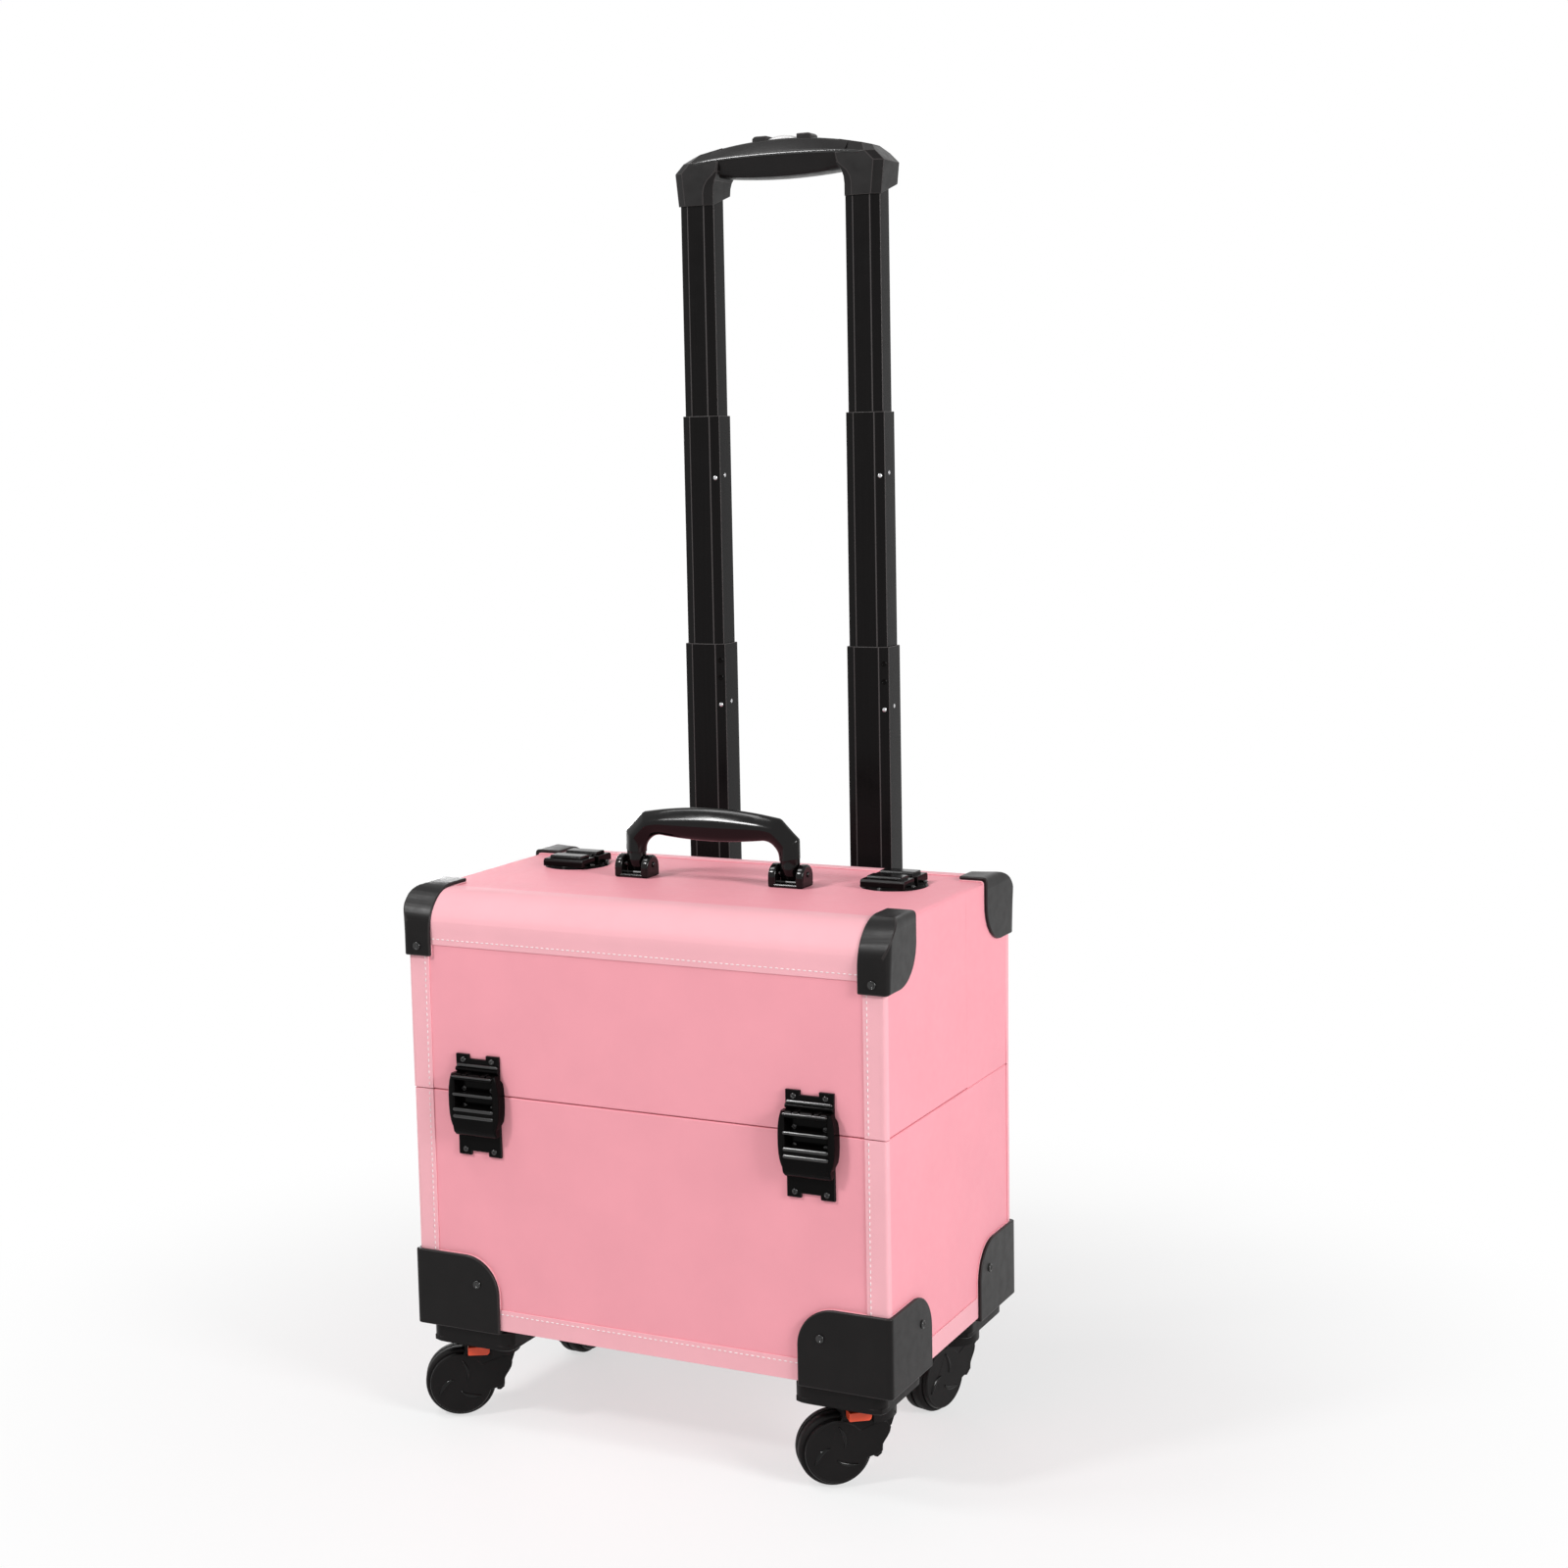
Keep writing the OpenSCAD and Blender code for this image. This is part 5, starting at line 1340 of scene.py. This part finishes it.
class CASE_OT_studio(bpy.types.Operator):
    """Sets up the pale floor, the soft lights and the camera"""
    bl_idname = "makeup_case.studio"
    bl_label = "Studio"

    def execute(self, context):
        scene = context.scene
        studio = scene.case_studio
        scene.view_settings.view_transform = "Standard"
        self.light_world(scene)
        self.lay_floor()
        for name, place, size, setting in LAMPS:
            self.hang_lamp(name, Vector(place), size, getattr(studio, setting))
        self.set_camera(scene, studio)
        return {"FINISHED"}

    def seen_directly(self, tree):
        """1 where the camera, a reflection or a clear part sees the surface."""
        path = add_node(tree, "ShaderNodeLightPath").outputs
        mirror = maths(tree, "MAXIMUM", path["Is Camera Ray"], path["Is Glossy Ray"])
        return maths(tree, "MAXIMUM", mirror, path["Is Transmission Ray"])

    def light_world(self, scene):
        """Plain air that lights softly and looks white."""
        air_light = 0.24
        world = bpy.data.worlds.new("studio_air")
        world.use_nodes = True
        tree = world.node_tree
        tree.nodes.clear()
        dim = add_node(tree, "ShaderNodeBackground", {"Color": (1, 1, 1, 1), "Strength": air_light})
        white = add_node(tree, "ShaderNodeBackground", {"Color": (1, 1, 1, 1), "Strength": 1.0})
        pick = add_node(tree, "ShaderNodeMixShader", {0: self.seen_directly(tree), 1: dim.outputs[0],
                                                      2: white.outputs[0]})
        add_node(tree, "ShaderNodeOutputWorld", {"Surface": pick.outputs[0]})
        scene.world = world

    def lay_floor(self):
        """Pale floor that keeps the shadow near the case and runs out to white."""
        reach, pale = 30.0, (0.86, 0.86, 0.86, 1)
        fade_from, fade_to, least_white = 0.2, 0.75, 0.62
        paint = bpy.data.materials.new("studio_floor")
        paint.use_nodes = True
        tree = paint.node_tree
        tree.nodes.clear()
        matt = add_node(tree, "ShaderNodeBsdfDiffuse", {"Color": pale})
        white = add_node(tree, "ShaderNodeEmission", {"Color": (1, 1, 1, 1), "Strength": 1.0})
        place = add_node(tree, "ShaderNodeTexCoord").outputs["Object"]
        away = add_node(tree, "ShaderNodeVectorMath", {0: place}, operation="LENGTH").outputs["Value"]
        fade = add_node(tree, "ShaderNodeMapRange", {
            "Value": away, "From Min": fade_from, "From Max": fade_to, "To Min": least_white, "To Max": 1.0},
            interpolation_type="SMOOTHSTEP")
        share = maths(tree, "MULTIPLY", self.seen_directly(tree), fade.outputs["Result"])
        pick = add_node(tree, "ShaderNodeMixShader", {0: share, 1: matt.outputs[0], 2: white.outputs[0]})
        add_node(tree, "ShaderNodeOutputMaterial", {"Surface": pick.outputs[0]})
        bm = bmesh.new()
        bm.faces.new([bm.verts.new((x*reach, y*reach, 0)) for x, y in ((-1, -1), (1, -1), (1, 1), (-1, 1))])
        mesh = bpy.data.meshes.new("studio_floor")
        bm.to_mesh(mesh)
        bm.free()
        mesh.materials.append(paint)
        hold("studio_floor", mesh)

    def hang_lamp(self, name, place, size, power):
        """Square soft lamp turned to the case."""
        lamp = bpy.data.lights.new(name, "AREA")
        lamp.shape = "SQUARE"
        lamp.size = size
        lamp.energy = power
        turn = (LAMP_AIM - place).to_track_quat("-Z", "Y").to_matrix().to_4x4()
        hold(name, lamp).matrix_world = Matrix.Translation(place) @ turn

    def set_camera(self, scene, studio):
        """Camera at the photograph's angle."""
        data = bpy.data.cameras.new("studio_camera")
        data.lens = studio.lens
        data.sensor_width = 36
        data.shift_x, data.shift_y = studio.shift_x, studio.shift_y
        data.clip_start, data.clip_end = 0.05, 100
        camera = hold("studio_camera", data)
        a, e = studio.azimuth, studio.elevation
        back = Vector((math.sin(a)*math.cos(e), -math.cos(a)*math.cos(e), math.sin(e)))
        right = (-back).cross(Vector((0, 0, 1))).normalized()
        up = right.cross(-back)
        c, s = math.cos(studio.roll), math.sin(studio.roll)
        turned_right, turned_up = c*right + s*up, c*up - s*right
        turn = Matrix((turned_right, turned_up, back)).transposed().to_4x4()
        camera.matrix_world = Matrix.Translation(ORIGIN + Vector(studio.camera_place)) @ turn
        scene.camera = camera


PIECES = (CASE_OT_leather_panels, CASE_OT_edge_strips, CASE_OT_stitching, CASE_OT_corner_guards,
          CASE_OT_rivets_and_screws, CASE_OT_buckles, CASE_OT_carry_handle, CASE_OT_telescopic_tubes,
          CASE_OT_pull_grip, CASE_OT_casters, CASE_OT_inner_parts, CASE_OT_studio)


class CASE_PT_sidebar(bpy.types.Panel):
    """Lists the settings and the pieces of the makeup case"""
    bl_label = "Makeup case"
    bl_idname = "CASE_PT_sidebar"
    bl_space_type = "VIEW_3D"
    bl_region_type = "UI"
    bl_category = "Makeup case"

    def draw(self, context):
        for group in (context.scene.case_leather, context.scene.case_hardware, context.scene.case_studio):
            part = self.layout.box()
            for key in group.__annotations__:
                part.prop(group, key)
        for piece in PIECES:
            self.layout.operator(piece.bl_idname)


SETTINGS = {"case_leather": LeatherSettings, "case_hardware": HardwareSettings, "case_studio": StudioSettings}
CLASSES = (*SETTINGS.values(), *PIECES, CASE_PT_sidebar)


def register():
    for item in CLASSES:
        bpy.utils.register_class(item)
    for key, group in SETTINGS.items():
        setattr(bpy.types.Scene, key, PointerProperty(type=group))


def unregister():
    for key in SETTINGS:
        delattr(bpy.types.Scene, key)
    for item in reversed(CLASSES):
        bpy.utils.unregister_class(item)


def main():
    register()
    make_finishes(bpy.context)
    for piece in PIECES:
        group, name = piece.bl_idname.split(".")
        getattr(getattr(bpy.ops, group), name)()


if __name__ == "__main__":
    main()
